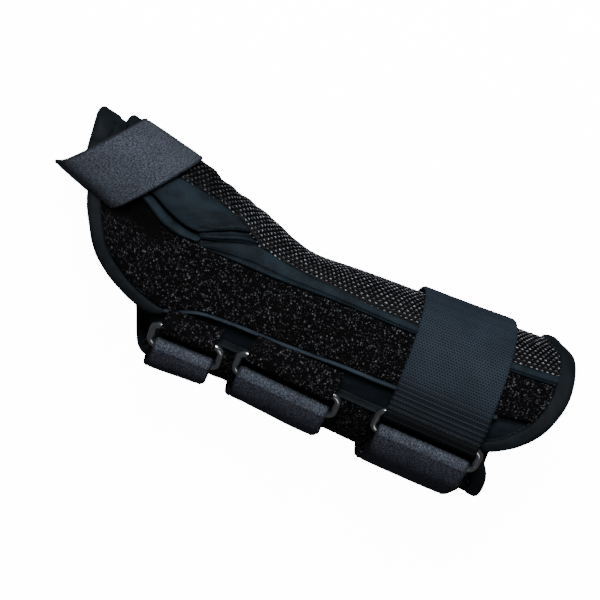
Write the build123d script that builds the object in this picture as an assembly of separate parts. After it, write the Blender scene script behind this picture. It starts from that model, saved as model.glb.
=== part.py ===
from build123d import *
import math
import os

# Wrist and thumb splint for a left hand, held palm down, in millimetres.
# While it is built, X runs along the forearm (+X towards the elbow), +Y is the thumb side
# and +Z is the back of the hand. Angles go round the forearm: 0 on the thumb side, 90 on
# the back and 270 on the palm. The last lines move everything so that the origin is the
# middle of the bottom of the splint.

# ---- driving dimensions ----
PANEL = 3.0                  # outer laminate
LINER = 1.0                  # soft lining, inside the laminate
TONGUE = 2.0                 # closure's tongue, and how far it goes past the closure's edges, in degrees
TONGUE_LAP = 8.0
STRIP_DROP = 0.4             # how far the smooth strip lies below its neighbours
LAYER_GAP = 0.2              # between layers that are sewn together
SEAM = 0.35                  # between neighbouring panels
EDGE_INSET = 0.7             # angle between a panel's edge and its binding
STRAP = 1.6                  # strap thickness
WEBBING = 1.8                # woven elastic on the forearm
BINDING_WIDTH = 6.5
BINDING_PROUD = 0.9          # how far a binding stands above the panels
PIPING_WIDTH = 2.2           # thin edging of the closure
PIPING_PROUD = 0.35
FLOOR_TO_SHELL = 4.6         # height of the shell's lowest line above the stay pocket's base
SHELL_END = 215.0
HAND_END = -20.0             # the shell's other end, on the back of the hand
PALM_TIP = -14.0             # and on the palm
TONGUE_END = 24.0            # hand end of the closure's tongue
PALM_START = 30.0            # where the palm part widens into the full sleeve
CLOSURE = 24.0               # the closure's opening, in degrees
MESH_BOTTOM = -45.0
PALM_SIDE = 225.0            # border of the palm panel and the little-finger side

# Shell sections: x -> half width and half height of the oval.
HALF_WIDTH = [(-20, 35), (0, 37), (36, 38.5), (72, 36), (115, 38.3), (150, 39.5), (180, 40.3), (215, 41.5)]
HALF_HEIGHT = [(-20, 20), (0, 21), (36, 22.5), (72, 25.5), (115, 29), (150, 31.8), (180, 33.5), (215, 35)]

# Borders of the loop panel on the back of the hand: x -> angle.
CLOSURE_EDGE = [(-20, 47), (-15, 65), (-9, 78), (-1.6, 91), (8, 100), (17, 105.5), (26, 110), (33, 108),
                (45, 98), (54, 94), (81, 91), (112, 86.4), (142, 84.3), (193, 75), (215, 72)]
LOOP_EDGE = [(-20, -10), (-5, 10), (10, 27), (19, 33), (33, 38), (45, 39), (85, 39), (215, 39)]
MESH_EDGE = [(45, 32), (54, 27), (63, 23), (80, 23), (97, 26), (131, 31), (186, 32), (215, 31)]
PALM_EDGE = [(-14, 311), (-6, 284), (4, 260), (16, 241), (30, 226)]

# Sections that every layer shares, so that neighbouring layers keep their distance.
STATIONS = [-20, -15, -9, -1.6, 4, 11, 17, 23, 30, 33, 39, 45, 54, 68, 81, 97, 112, 142, 168, 193, 215]

# Thumb tube: a cone about a straight axis, from its rim into the sleeve.
THUMB_RIM = Vector(-30, 48.6, 23)
THUMB_AXIS = Vector(80, -24, 3.5).normalized()
THUMB_RADIUS = [(0, 16.8), (18, 18.0), (50, 20.1), (84, 21.4), (110, 20.0), (131, 18.0)]
THUMB_JOIN = -8.0            # x where the tube starts to merge with the sleeve
THUMB_STRAP_LEAN = 25.0      # slant of the thumb strap, in degrees
THUMB_STRAP_TURN = -110.0    # side of the thumb on which the slanted strap sits furthest in
THUMB_STRAP_AT = 25.7        # middle of the thumb strap, along the axis
THUMB_STRAP_WIDTH = 30.0

# Loops: name, x of the middle, angle, strap width, how the strap leans over its root.
RINGS = {"hand": (48.0, 117.6, 28.6), "wrist": (96.0, 112.4, 45.0), "forearm": (162.5, 106.3, 45.0)}
WIRE = 1.7                   # radius of a loop's bar
BAR = 5.6                    # from the loop's middle to the axis of either long bar
RING_CORNER = 3.4            # radius of a loop's corner, along its bar's axis
RING_HEIGHT = 4.5            # loop's plane above the shell
BAR_CLEARANCE = 0.25         # between a bar and the fabric folded round it
TAB = 1.2                    # fabric folded round the fixed bar
FOLD_END = 9.4               # where the folded strap ends, from the loop's middle
TAIL_START = 10.0            # where the strap's free end starts
HOOK = 1.0                   # thickness of the hook tab under a strap's end
ARCH = 110.0                 # twice the radius of the sleeve's back, across
ANCHOR = {"hand": 232.0, "wrist": 236.0, "forearm": 238.0}    # where each strap is sewn down
TAIL_END = {"hand": 206.0, "wrist": 214.0, "forearm": 218.0}  # where its free end stops
TAIL_FALL = 34.0             # angle over which the free end comes down from its loop
TAIL_REST = 3.5              # then the height of its underside

# Stays.
POCKET = (14.0, 200.0)       # x of the palm stay pocket's ends
POCKET_WIDTH = 33.0
STAY = (186.0, 25.0, 1.6)    # palm stay: length, width, thickness
STAY_SLOT = (26.0, 2.2)      # width and height of its slot
STAY_HEIGHT = 2.1            # middle of the slot above the base
THUMB_STAY = (60.0, 9.0, 0.8)
SPRING_STAY = (112.0, 193.0, 33.4, 37.4)   # flat spring on the thumb side: x of its ends, its two angles
STAY_ROOM = 0.15             # clearance round the flat spring
THUMB_STAY_TURN = -25.0      # side of the thumb on which its stay lies
THUMB_STAY_START = 9.0
STAY_MOUTH = 14.0             # length of the thumb stay's slot ahead of it, through the rim
JOIN_GAP = 0.3               # clearance of shell and thumb tube where they meet
RIM_AT = 4.0                 # middle of the thumb's rim binding, along its axis
RIM_DEPTH = 7.2              # where the thumb's panels start, behind its rim binding


# ---- shape of the shell ----
def smooth(table, x):
    """Value at x of a smooth curve through the (x, value) pairs; straight beyond its ends."""
    def slope(i):
        low, high = max(i - 1, 0), min(i + 1, len(table) - 1)
        return (table[high][1] - table[low][1]) / (table[high][0] - table[low][0])

    last = len(table) - 1
    if x <= table[0][0]:
        return table[0][1] + slope(0) * (x - table[0][0])
    if x >= table[last][0]:
        return table[last][1] + slope(last) * (x - table[last][0])
    i = max(k for k in range(last) if table[k][0] <= x)
    (x0, y0), (x1, y1) = table[i], table[i + 1]
    span = x1 - x0
    t = (x - x0) / span
    return (y0 * (1 + 2 * t) * (1 - t) ** 2 + slope(i) * span * t * (1 - t) ** 2
            + y1 * t * t * (3 - 2 * t) + slope(i + 1) * span * t * t * (t - 1))


def value(number_or_rule, at):
    return number_or_rule(at) if callable(number_or_rule) else number_or_rule


def on_shell(x, angle, off=0.0):
    """Point of the shell's outer surface, moved out by off."""
    half_width = smooth(HALF_WIDTH, x)
    half_height = smooth(HALF_HEIGHT, x)
    turn = math.radians(angle)
    return Vector(x, (half_width + off) * math.cos(turn),
                  FLOOR_TO_SHELL + half_height + (half_height + off) * math.sin(turn))


def closure_edge(x):
    return smooth(CLOSURE_EDGE, x)


def far_edge(x):
    return closure_edge(x) + CLOSURE


def loop_edge(x):
    return smooth(LOOP_EDGE, x)


def mesh_edge(x):
    return smooth(MESH_EDGE, x)


def palm_edge(x):
    return smooth(PALM_EDGE, x)


def degrees_wide(x, length):
    """Angle that a length takes on the upper side of the shell."""
    return math.degrees(length / smooth(HALF_WIDTH, x))


def section(x, start, end, inner, outer):
    """Cut through a layer at x, between two angles and between two offsets."""
    first, last = value(start, x), value(end, x)
    count = max(5, int(abs(last - first) / 11) + 2)
    angles = [first + (last - first) * i / (count - 1) for i in range(count)]
    outside = Spline([on_shell(x, a, value(outer, a)) for a in angles])
    inside = Spline([on_shell(x, a, value(inner, a)) for a in reversed(angles)])
    return Face(Wire([outside, Line(outside @ 1, inside @ 0), inside, Line(inside @ 1, outside @ 0)]))


def band(xs, start, end, inner, outer):
    """Layer of the shell: from one x to another, between two angles and two offsets."""
    return loft([section(x, start, end, inner, outer) for x in xs], ruled=True)


def between(first, last):
    """The shared stations from first to last, both included."""
    return [first] + [x for x in STATIONS if first < x < last] + [last]


def oval(off, start=-20.0, end=SHELL_END):
    """Solid inside of the shell's surface, moved out by off."""
    faces = []
    for x in between(start, end):
        half_height = smooth(HALF_HEIGHT, x)
        middle = Plane(origin=(x, 0, FLOOR_TO_SHELL + half_height), x_dir=(0, 1, 0), z_dir=(1, 0, 0))
        faces.append(middle * Ellipse(smooth(HALF_WIDTH, x) + off, half_height + off))
    return loft(faces, ruled=True)


def thumb_plane(along):
    """Plane across the thumb tube, its x towards the back of the hand."""
    up = Vector(0, 0, 1) - THUMB_AXIS * THUMB_AXIS.Z
    return Plane(origin=THUMB_RIM + THUMB_AXIS * along, x_dir=up.normalized(), z_dir=THUMB_AXIS)


def cone(off, start=0.0, end=131.0):
    """Solid inside of the thumb tube's surface, moved out by off."""
    steps = [start] + [s for s in span(0, 130, 13) if start < s < end] + [end]
    return loft([thumb_plane(s) * Circle(smooth(THUMB_RADIUS, s) + off) for s in steps], ruled=True)


def span(first, last, steps):
    return [first + (last - first) * i / steps for i in range(steps + 1)]


# ---- outline of the forearm end, seen from above ----
def end_outline(back):
    """Region kept by the forearm end's cut, on the back of the arm or on the palm side."""
    if back:
        curve = Spline([(200, -60), (193, -22), (191, -9), (198.5, -0.7), (208.5, 9.3), (213.6, 22), (215, 40)])
    else:
        curve = Spline([(199, -60), (203, -40), (211, 0), (215, 40)])
    start, end = curve @ 0, curve @ 1
    return make_face([curve, Polyline(end, (215, 60), (-60, 60), (-60, -60), start)])


def end_cut(inset=0.0):
    """Everything that the forearm end keeps, less an inset from its edge."""
    middle = FLOOR_TO_SHELL + smooth(HALF_HEIGHT, SHELL_END)
    kept = []
    for back in (True, False):
        outline = end_outline(back)
        if inset:
            outline = outline & Pos(-inset, 0) * outline & Pos(-0.7 * inset, 0.7 * inset) * outline
        height = 60.0 if back else -60.0
        kept.append(extrude(Pos(0, 0, middle) * outline, height))
    return kept[0] + kept[1]


# ---- the sewn shell ----
def panels():
    room = cone(JOIN_GAP)
    inside_end = end_cut(BINDING_WIDTH + SEAM)
    nodes = {}
    loop = band(between(HAND_END, SHELL_END), loop_edge, closure_edge, -PANEL, 0)
    nodes["radial_loop_panel"] = (loop - room) & inside_end

    strip = band(between(45, SHELL_END), lambda x: mesh_edge(x) + SEAM, lambda x: loop_edge(x) - SEAM,
                 -PANEL, -STRIP_DROP)
    nodes["stay_sleeve"] = (strip - room - spring_stay(STAY_ROOM)) & inside_end
    mesh = band(between(54, SHELL_END), MESH_BOTTOM + SEAM, mesh_edge, -PANEL, 0)
    nodes["radial_mesh_panel"] = (mesh - room) & inside_end

    palm_tip = band(between(PALM_TIP, PALM_START - SEAM), palm_edge, 360 + MESH_BOTTOM, -PANEL, 0)
    palm = band(between(PALM_START, SHELL_END), PALM_SIDE + SEAM, 360 + MESH_BOTTOM, -PANEL, 0)
    nodes["palm_grip_panel"] = palm_tip - room
    nodes["palm_panel"] = (palm - room) & inside_end
    ulnar = band(between(PALM_START, SHELL_END),
                 lambda x: far_edge(x) + degrees_wide(x, PIPING_WIDTH), PALM_SIDE, -PANEL, 0)
    nodes["ulnar_loop_panel"] = ulnar & inside_end
    return nodes


def linings():
    room = cone(JOIN_GAP)
    inside_end = end_cut(BINDING_WIDTH + SEAM)
    outer, inner = -PANEL - LAYER_GAP, -PANEL - LAYER_GAP - LINER
    tip = between(PALM_TIP, PALM_START - SEAM)
    palm = band(tip, palm_edge, 345, inner, outer)
    back = band(tip, -15, closure_edge, inner, outer)
    sleeve = band(between(PALM_START, SHELL_END), far_edge,
                  lambda x: 360 + closure_edge(x), inner, outer)
    tube = cone(outer, RIM_DEPTH) - cone(inner, 1.0) - oval(JOIN_GAP, THUMB_JOIN)
    below = inner - LAYER_GAP
    tongue = band(between(TONGUE_END, SHELL_END), lambda x: closure_edge(x) - TONGUE_LAP,
                  lambda x: far_edge(x) + TONGUE_LAP, below - TONGUE, below)
    return {"palm_liner": palm - room, "hand_back_liner": back - room,
            "sleeve_liner": (sleeve - room) & inside_end, "thumb_liner": tube,
            "closure_tongue": tongue & end_cut()}


def thumb_wedge(first, last):
    """Slice of space round the thumb's axis between two angles, 0 on the back of the hand."""
    reach = 60.0
    corners = [(0, 0)] + [(reach * math.cos(math.radians(a)), reach * math.sin(math.radians(a)))
                          for a in span(first, last, 4)]
    return extrude(thumb_plane(-10) * make_face(Polyline(*corners, close=True)), 160)


def thumb_panels():
    """Three panels of the tube: smooth gusset, mesh along the outside and web by the palm."""
    tube = cone(0, RIM_DEPTH) - cone(-PANEL, -5) - oval(JOIN_GAP, THUMB_JOIN)
    seam = 0.6
    slices = {"thumb_gusset": (-72, 55), "thumb_web_panel": (55 + seam, 180 - seam),
              "thumb_mesh_panel": (180, 288 - seam)}
    nodes = {name: tube & thumb_wedge(*angles) for name, angles in slices.items()}
    slot = thumb_stay(0.4, STAY_MOUTH)
    nodes["thumb_gusset"] = nodes["thumb_gusset"] - slot
    roll = 3.0
    rim = thumb_plane(RIM_AT) * Torus(smooth(THUMB_RADIUS, 0) - 2.6, roll) - slot
    nodes["thumb_rim_binding"] = rim.solids().sort_by(SortBy.VOLUME)[-1]
    return nodes


def thumb_stay_axis():
    """Where the thumb stay starts, the way it runs and the way its flat side faces."""
    base = thumb_plane(THUMB_STAY_START)
    turn = math.radians(THUMB_STAY_TURN)
    out = base.x_dir * math.cos(turn) + base.y_dir * math.sin(turn)
    rise = (smooth(THUMB_RADIUS, 55) - smooth(THUMB_RADIUS, 0)) / 55
    depth = PANEL / 2 + 0.3
    start = base.origin + out * (smooth(THUMB_RADIUS, 0) - depth + rise * THUMB_STAY_START)
    return start, (THUMB_AXIS + out * rise).normalized(), out


def thumb_stay(clearance=0.0, mouth=0.0):
    """Flat bar that lies inside the gusset, in the middle of its thickness; mouth is the way out of its slot."""
    start, along, out = thumb_stay_axis()
    length, width, thickness = THUMB_STAY
    frame = Plane(origin=start - along * mouth, x_dir=along.cross(out).normalized(), z_dir=along)
    return extrude(frame * Rectangle(width + 2 * clearance, thickness + 2 * clearance),
                   length + mouth + 2 * clearance)


def bindings():
    low, high = -PANEL - LAYER_GAP - LINER, BINDING_PROUD
    room = cone(JOIN_GAP)

    def slanted(x, table):
        """Angle that the binding takes where the edge runs across the sleeve at a slant."""
        rise = abs(smooth(table, x + 1) - smooth(table, x - 1)) / 2
        climb = math.radians(rise) * smooth(HALF_WIDTH, x)
        return degrees_wide(x, BINDING_WIDTH * math.hypot(1, climb))

    hand = band(between(HAND_END, 15), lambda x: closure_edge(x) + EDGE_INSET,
                lambda x: closure_edge(x) + slanted(x, CLOSURE_EDGE), low, high)
    palm = band(between(PALM_TIP, PALM_START - 2.5), lambda x: palm_edge(x) - slanted(x, PALM_EDGE),
                lambda x: palm_edge(x) - EDGE_INSET, low, high)
    ulnar = band([PALM_START - BINDING_WIDTH, PALM_START - SEAM], far_edge(PALM_START), 208, low, high)
    inside_end = end_cut(BINDING_WIDTH + SEAM)
    thumb_side = band(between(15.4, SHELL_END), lambda x: closure_edge(x) + 0.4,
                      lambda x: closure_edge(x) + degrees_wide(x, PIPING_WIDTH), -PANEL, PIPING_PROUD)
    far_side = band(between(PALM_START, SHELL_END), far_edge,
                    lambda x: far_edge(x) + degrees_wide(x, PIPING_WIDTH) - 0.4, -PANEL, PIPING_PROUD)
    end_ring = (oval(high, 168) - oval(low, 168, 220)) & (end_cut() - end_cut(BINDING_WIDTH))
    lap = TONGUE_LAP + 0.6
    tongue_gap = band(between(168, 220), lambda x: closure_edge(x) - lap, lambda x: far_edge(x) + lap,
                      low - 3, low + 0.1)
    return {"hand_binding": hand - room, "palm_binding": palm - room, "ulnar_binding": ulnar,
            "radial_closure_piping": thumb_side & inside_end, "ulnar_closure_piping": far_side & inside_end,
            "forearm_binding": end_ring - tongue_gap}


# ---- stays ----
def spring_stay(clearance=0.0):
    """Flat spring sewn into the smooth strip on the thumb side."""
    start, end, low, high = SPRING_STAY
    more = math.degrees(clearance / smooth(HALF_WIDTH, start))
    return band(between(start - clearance, end + clearance), low - more, high + more,
                -2.2 - clearance, -1.2 + clearance)


def stays():
    length, width, thickness = STAY
    start, end = POCKET
    block = Pos((start + end) / 2, 0, 10) * Box(end - start, POCKET_WIDTH, 20)
    pocket = block - oval(0.25, -5, 220) - cone(JOIN_GAP)
    slot = Pos(start + 4 + 100, 0, STAY_HEIGHT) * Box(200, *STAY_SLOT)
    tip = end + 7
    bar = Pos(tip - length / 2, 0, STAY_HEIGHT) * Box(length, width, thickness)
    grip = Pos(end + 4.8, 0, STAY_HEIGHT) * Box(9, width + 1, 2.8) - bar
    return {"palm_stay_pocket": pocket - slot, "palm_stay": bar, "palm_stay_grip": grip,
            "radial_spring_stay": spring_stay(), "thumb_stay": thumb_stay()}


# ---- loops and straps ----
def ring_frame(name):
    """Plane across a loop: x away from the thumb, y out of the shell, centred on its middle."""
    x, angle, _ = RINGS[name]
    along = (on_shell(x + 5, angle) - on_shell(x - 5, angle)).normalized()
    around = (on_shell(x, angle + 1) - on_shell(x, angle - 1)).normalized()
    out = along.cross(around).normalized()
    out = out if out.Z > 0 else out * -1
    across = out.cross(along).normalized()
    across = across if across.Y < 0 else across * -1
    return Plane(origin=on_shell(x, angle), x_dir=across, z_dir=across.cross(out))


def prism(name, profile, width):
    """Profile drawn in a loop's frame, extruded along the loop's bars."""
    frame = ring_frame(name)
    return extrude(frame * (Pos(0, 0, -width / 2) * profile), width)


def half_wrap(bar_at, inner, outer, reach):
    """Strip folded round a bar and left open on one side, its two legs out to reach."""
    side = 1 if reach > bar_at else -1
    legs = abs(reach - bar_at)
    middle = (bar_at, RING_HEIGHT)
    ring = Pos(*middle) * (Circle(outer) - Circle(inner))
    ring = ring - Pos(bar_at + side * outer, RING_HEIGHT) * Rectangle(2 * outer, 2 * outer)
    thickness = outer - inner
    for level in (1, -1):
        height = RING_HEIGHT + level * (inner + outer) / 2
        ring = ring + Pos(bar_at + side * legs / 2, height) * Rectangle(legs, thickness)
    return ring


def ring_parts(name):
    x, angle, width = RINGS[name]
    frame = ring_frame(name)
    tilt = Plane(origin=frame.from_local_coords((0, RING_HEIGHT, 0)), x_dir=frame.x_dir, z_dir=frame.y_dir)
    long_side = width + 0.8 + 2 * WIRE
    outline = RectangleRounded(2 * BAR, long_side, RING_CORNER).wire()
    start = outline.edges().sort_by(Axis.X)[-1]
    profile = Plane(origin=start @ 0.5, z_dir=start % 0.5) * Circle(WIRE)
    wire = tilt * sweep(profile, path=outline)
    inner = WIRE + BAR_CLEARANCE
    fold = prism(name, half_wrap(BAR, inner, inner + STRAP, FOLD_END), width - 2.6)
    tab = prism(name, tab_profile(inner), width - 2.6)
    return {f"{name}_ring": wire, f"{name}_strap_fold": fold, f"{name}_ring_tab": tab}


def tab_profile(inner):
    """Teardrop: fabric folded round the fixed bar and sewn down beside the closure's edge."""
    outer = inner + TAB
    round_bar = Pos(-BAR, RING_HEIGHT) * Circle(outer)
    foot = make_face(Polyline((-BAR - 2.4, RING_HEIGHT + 2), (-BAR + 0.6, RING_HEIGHT - outer + 0.02),
                              (-12.6, -0.2), (-13.2, 1.0), close=True))
    return round_bar + foot - Pos(-BAR, RING_HEIGHT) * Circle(inner)


def tail_height():
    """Height of a free end's underside where it leaves its loop."""
    return RING_HEIGHT + WIRE + BAR_CLEARANCE + FOLD_END ** 2 / ARCH


def strap_parts(name):
    x, angle, width = RINGS[name]
    xs = span(x - width / 2, x + width / 2, 2)
    past = math.degrees(1 / smooth(HALF_WIDTH, x))
    root_end = angle + (FOLD_END + 1.0) * past
    tail_first = angle + TAIL_START * past
    tail_last = TAIL_END[name]

    def lift(a):
        """Height of the tail's underside: high over the loop, then down onto the strap below."""
        fall = min(1.0, max(0.0, (a - tail_first) / TAIL_FALL))
        return TAIL_REST + (tail_height() - TAIL_REST) * (1 - fall * fall * (3 - 2 * fall))

    root = band(xs, root_end, ANCHOR[name], 0.45, 0.45 + STRAP)
    tail = band(xs, tail_first, tail_last, lift, lambda a: lift(a) + STRAP)
    hook_xs = span(x - width / 2 + 1.5, x + width / 2 - 1.5, 2)
    hook = band(hook_xs, tail_first + 38, tail_last - 1.5, lambda a: lift(a) - HOOK - 0.12,
                lambda a: lift(a) - 0.12)
    return {f"{name}_strap_base": root, f"{name}_strap_tail": tail, f"{name}_hook_tab": hook}


def tail_hinge(name):
    """Point and direction of the line about which a strap's free end peels away."""
    x, angle, width = RINGS[name]
    past = math.degrees(1 / smooth(HALF_WIDTH, x))
    first = angle + TAIL_START * past
    return on_shell(x, first, tail_height() + STRAP + 0.3), ring_frame(name).z_dir


def webbing():
    """Wide woven elastic from the palm side, over the thumb side, to the forearm loop."""
    x, angle, width = RINGS["forearm"]
    past = math.degrees(1 / smooth(HALF_WIDTH, x))
    return band(span(x - width / 2, x + width / 2, 2), -60, angle - 14.6 * past, 0.65, 0.65 + WEBBING)


def thumb_strap():
    """Strap wound round the thumb tube: base ring, and a free end that lies on it."""
    middle = thumb_plane(THUMB_STRAP_AT)
    turn = math.radians(THUMB_STRAP_TURN)
    side = middle.x_dir * math.cos(turn) + middle.y_dir * math.sin(turn)
    lean = THUMB_AXIS - side * math.tan(math.radians(THUMB_STRAP_LEAN))
    slab = extrude(Plane(origin=middle.origin, z_dir=lean.normalized()) * Circle(60),
                   THUMB_STRAP_WIDTH / 2, both=True)
    sleeve = oval(BINDING_PROUD + 0.3, -20, 100)
    base_low, hook_low, tail_low = 0.5, 2.4, 3.4
    base = (cone(base_low + STRAP, -8, 70) - cone(base_low, -10, 72)) & slab
    hook = (cone(tail_low - 0.1, -8, 70) - cone(hook_low, -10, 72)) & slab
    tail = (cone(tail_low + STRAP, -8, 70) - cone(tail_low, -10, 72)) & slab
    return {"thumb_strap_base": base - sleeve, "thumb_strap_tail": tail & thumb_wedge(215, 290) - sleeve,
            "thumb_hook_tab": hook & thumb_wedge(218, 262) - sleeve}


def thumb_tail_hinge():
    """Point and direction of the line about which the thumb strap's free end peels away."""
    turn = math.radians(290)
    middle = thumb_plane(THUMB_STRAP_AT)
    out = middle.x_dir * math.cos(turn) + middle.y_dir * math.sin(turn)
    return middle.origin + out * (smooth(THUMB_RADIUS, THUMB_STRAP_AT) + 5.3), THUMB_AXIS


def build():
    nodes = {}
    for make in (panels, linings, thumb_panels, bindings, stays):
        nodes.update(make())
    for name in RINGS:
        nodes.update(ring_parts(name))
        nodes.update(strap_parts(name))
    nodes["forearm_webbing"] = webbing()
    nodes.update(thumb_strap())
    return nodes


def placed(nodes):
    """The nodes and the move that puts the middle of the splint's base at the origin."""
    boxes = [shape.bounding_box() for shape in nodes.values()]
    low = Vector(*(min(getattr(b.min, k) for b in boxes) for k in "XYZ"))
    high = Vector(*(max(getattr(b.max, k) for b in boxes) for k in "XYZ"))
    shift = Vector(-(low.X + high.X) / 2, -(low.Y + high.Y) / 2, -low.Z)
    return {name: Pos(*shift) * shape for name, shape in nodes.items()}, shift


nodes, shift = placed(build())
os.makedirs("parts", exist_ok=True)
for name, shape in nodes.items():
    export_step(shape, f"parts/{name}.step")
print("moved by", shift)
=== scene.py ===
import math

import bpy
import numpy as np
from mathutils import Matrix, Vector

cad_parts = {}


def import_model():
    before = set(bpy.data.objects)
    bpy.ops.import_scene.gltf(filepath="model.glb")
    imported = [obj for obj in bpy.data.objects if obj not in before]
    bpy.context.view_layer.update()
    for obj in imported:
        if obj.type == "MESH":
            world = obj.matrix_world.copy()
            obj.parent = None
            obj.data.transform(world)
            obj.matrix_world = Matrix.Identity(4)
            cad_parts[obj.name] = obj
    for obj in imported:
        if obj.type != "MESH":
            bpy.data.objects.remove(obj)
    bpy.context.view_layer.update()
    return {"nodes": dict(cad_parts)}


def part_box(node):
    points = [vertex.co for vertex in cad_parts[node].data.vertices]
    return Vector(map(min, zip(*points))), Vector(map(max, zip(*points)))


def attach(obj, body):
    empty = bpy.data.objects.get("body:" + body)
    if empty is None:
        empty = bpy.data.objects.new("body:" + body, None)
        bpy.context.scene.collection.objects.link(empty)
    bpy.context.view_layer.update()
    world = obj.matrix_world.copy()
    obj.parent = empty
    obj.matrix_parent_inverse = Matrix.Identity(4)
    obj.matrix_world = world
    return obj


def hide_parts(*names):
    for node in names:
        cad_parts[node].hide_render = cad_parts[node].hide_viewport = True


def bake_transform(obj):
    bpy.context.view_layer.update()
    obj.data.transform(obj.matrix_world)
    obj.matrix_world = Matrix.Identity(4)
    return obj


# Wrist and thumb splint. Lengths are in millimetres in the form's own frame: X along the
# forearm (+X towards the elbow), +Y the thumb side, +Z the back of the hand. They are turned
# into metres in the row frame when a mesh is made.

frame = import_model()

POCKET_START = 14.0
POCKET_END = 200.0
pocket_low, pocket_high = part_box("palm_stay_pocket")
SHIFT = np.array([
    pocket_low[0] * 1000 - POCKET_START,
    (pocket_low[1] + pocket_high[1]) * 500,
    pocket_low[2] * 1000,
])


def world(points):
    return (np.asarray(points, float) + SHIFT) / 1000


# ---- form of the splint ----
# (place along the forearm, half the sleeve's width or height)
HALF_WIDTH = [(-20, 35), (0, 37), (36, 38.5), (72, 36), (115, 38.3), (150, 39.5), (180, 40.3), (215, 41.5)]
HALF_HEIGHT = [(-20, 20), (0, 21), (36, 22.5), (72, 25.5), (115, 29), (150, 31.8), (180, 33.5), (215, 35)]
FLOOR_TO_SHELL = 4.6
THUMB_RIM = np.array([-30, 48.6, 23.0])
THUMB_AXIS = np.array([80, -24, 3.5]) / math.hypot(80, -24, 3.5)
THUMB_RADIUS = [(0, 16.8), (18, 18.0), (50, 20.1), (84, 21.4), (110, 20.0), (131, 18.0)]
FILLET = 5.0
PANEL = 3.0


def smooth(table, x):
    """Value at x of a smooth curve through the (x, value) pairs; straight beyond its ends."""
    xs = np.array([p[0] for p in table], float)
    ys = np.array([p[1] for p in table], float)
    last = len(xs) - 1
    before = np.clip(np.arange(last + 1) - 1, 0, last)
    after = np.clip(np.arange(last + 1) + 1, 0, last)
    slope = (ys[after] - ys[before]) / (xs[after] - xs[before])
    x = np.asarray(x, float)
    i = np.clip(np.searchsorted(xs, x, side="right") - 1, 0, last - 1)
    span = xs[i + 1] - xs[i]
    t = np.clip((x - xs[i]) / span, 0, 1)
    y = (ys[i] * (1 + 2 * t) * (1 - t) ** 2 + slope[i] * span * t * (1 - t) ** 2
         + ys[i + 1] * t * t * (3 - 2 * t) + slope[i + 1] * span * t * t * (t - 1))
    y = np.where(x < xs[0], ys[0] + slope[0] * (x - xs[0]), y)
    return np.where(x > xs[-1], ys[-1] + slope[-1] * (x - xs[-1]), y)


def bell(x, middle, width):
    return np.exp(-((x - middle) / width) ** 2)


def unit(vectors):
    return vectors / np.linalg.norm(vectors, axis=-1, keepdims=True)


def ease(x, low, high):
    """0 up to low, 1 from high on, and a soft step between them."""
    t = np.clip((np.asarray(x, float) - low) / (high - low), 0, 1)
    return t * t * (3 - 2 * t)


def sleeve_distance(p):
    half_width = smooth(HALF_WIDTH, p[..., 0])
    half_height = smooth(HALF_HEIGHT, p[..., 0])
    y = p[..., 1]
    z = p[..., 2] - FLOOR_TO_SHELL - half_height
    q = np.sqrt((y / half_width) ** 2 + (z / half_height) ** 2) + 1e-9
    g = np.sqrt((y / half_width ** 2) ** 2 + (z / half_height ** 2) ** 2) / q + 1e-9
    return (q - 1) / g


def thumb_distance(p):
    w = p - THUMB_RIM
    along = w @ THUMB_AXIS
    radius = np.linalg.norm(w - along[..., None] * THUMB_AXIS, axis=-1)
    return radius - smooth(THUMB_RADIUS, along)


def form_distance(p):
    """Distance to the sleeve and thumb tube, joined with a fillet."""
    tube = thumb_distance(p)
    sleeve = sleeve_distance(p)
    h = np.clip(0.5 + 0.5 * (tube - sleeve) / FILLET, 0, 1)
    return tube * (1 - h) + sleeve * h - FILLET * h * (1 - h)


def form_normal(p):
    step = 0.05
    parts = [form_distance(p + step * axis) - form_distance(p - step * axis) for axis in np.eye(3)]
    return unit(np.stack(parts, -1))


def cast(origins, directions):
    """First point of the form's surface on each ray that starts inside it."""
    far = 110.0
    steps = np.linspace(0.5, far, 80)
    high = np.full(origins.shape[:-1], far)
    low = np.full(origins.shape[:-1], far)
    found = np.zeros(origins.shape[:-1], bool)
    previous = form_distance(origins + directions * steps[0])
    for k in range(1, len(steps)):
        value = form_distance(origins + directions * steps[k])
        hit = (~found) & (previous < 0) & (value >= 0)
        low = np.where(hit, steps[k - 1], low)
        high = np.where(hit, steps[k], high)
        found |= hit
        previous = value
    for _ in range(18):
        middle = (low + high) / 2
        inside = form_distance(origins + directions * middle[..., None]) < 0
        low = np.where(inside, middle, low)
        high = np.where(inside, high, middle)
    return origins + directions * high[..., None]


# ---- two ways to name a point of the form ----
def arm_rays(x, angle):
    """Rays from the forearm's axis: x, and the angle from the thumb side towards the back."""
    x, angle = np.broadcast_arrays(np.asarray(x, float), np.asarray(angle, float))
    turn = np.radians(angle)
    origins = np.stack([x, 0 * x, FLOOR_TO_SHELL + smooth(HALF_HEIGHT, x)], -1)
    return origins, np.stack([0 * x, np.cos(turn), np.sin(turn)], -1)


def thumb_line():
    """Axis that runs down the thumb and bends into the forearm's axis."""
    along = np.arange(-14, 262, 1.0)
    straight = THUMB_RIM + along[:, None] * THUMB_AXIS
    x = straight[:, 0]
    share = ease(x, 45, 125)
    y = straight[:, 1] * (1 - share)
    z = straight[:, 2] * (1 - share) + (FLOOR_TO_SHELL + smooth(HALF_HEIGHT, x)) * share
    points = np.stack([x, y, z], -1)
    return along, points, unit(np.gradient(points, axis=0))


LINE_ALONG, LINE_POINTS, LINE_TANGENTS = thumb_line()


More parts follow.
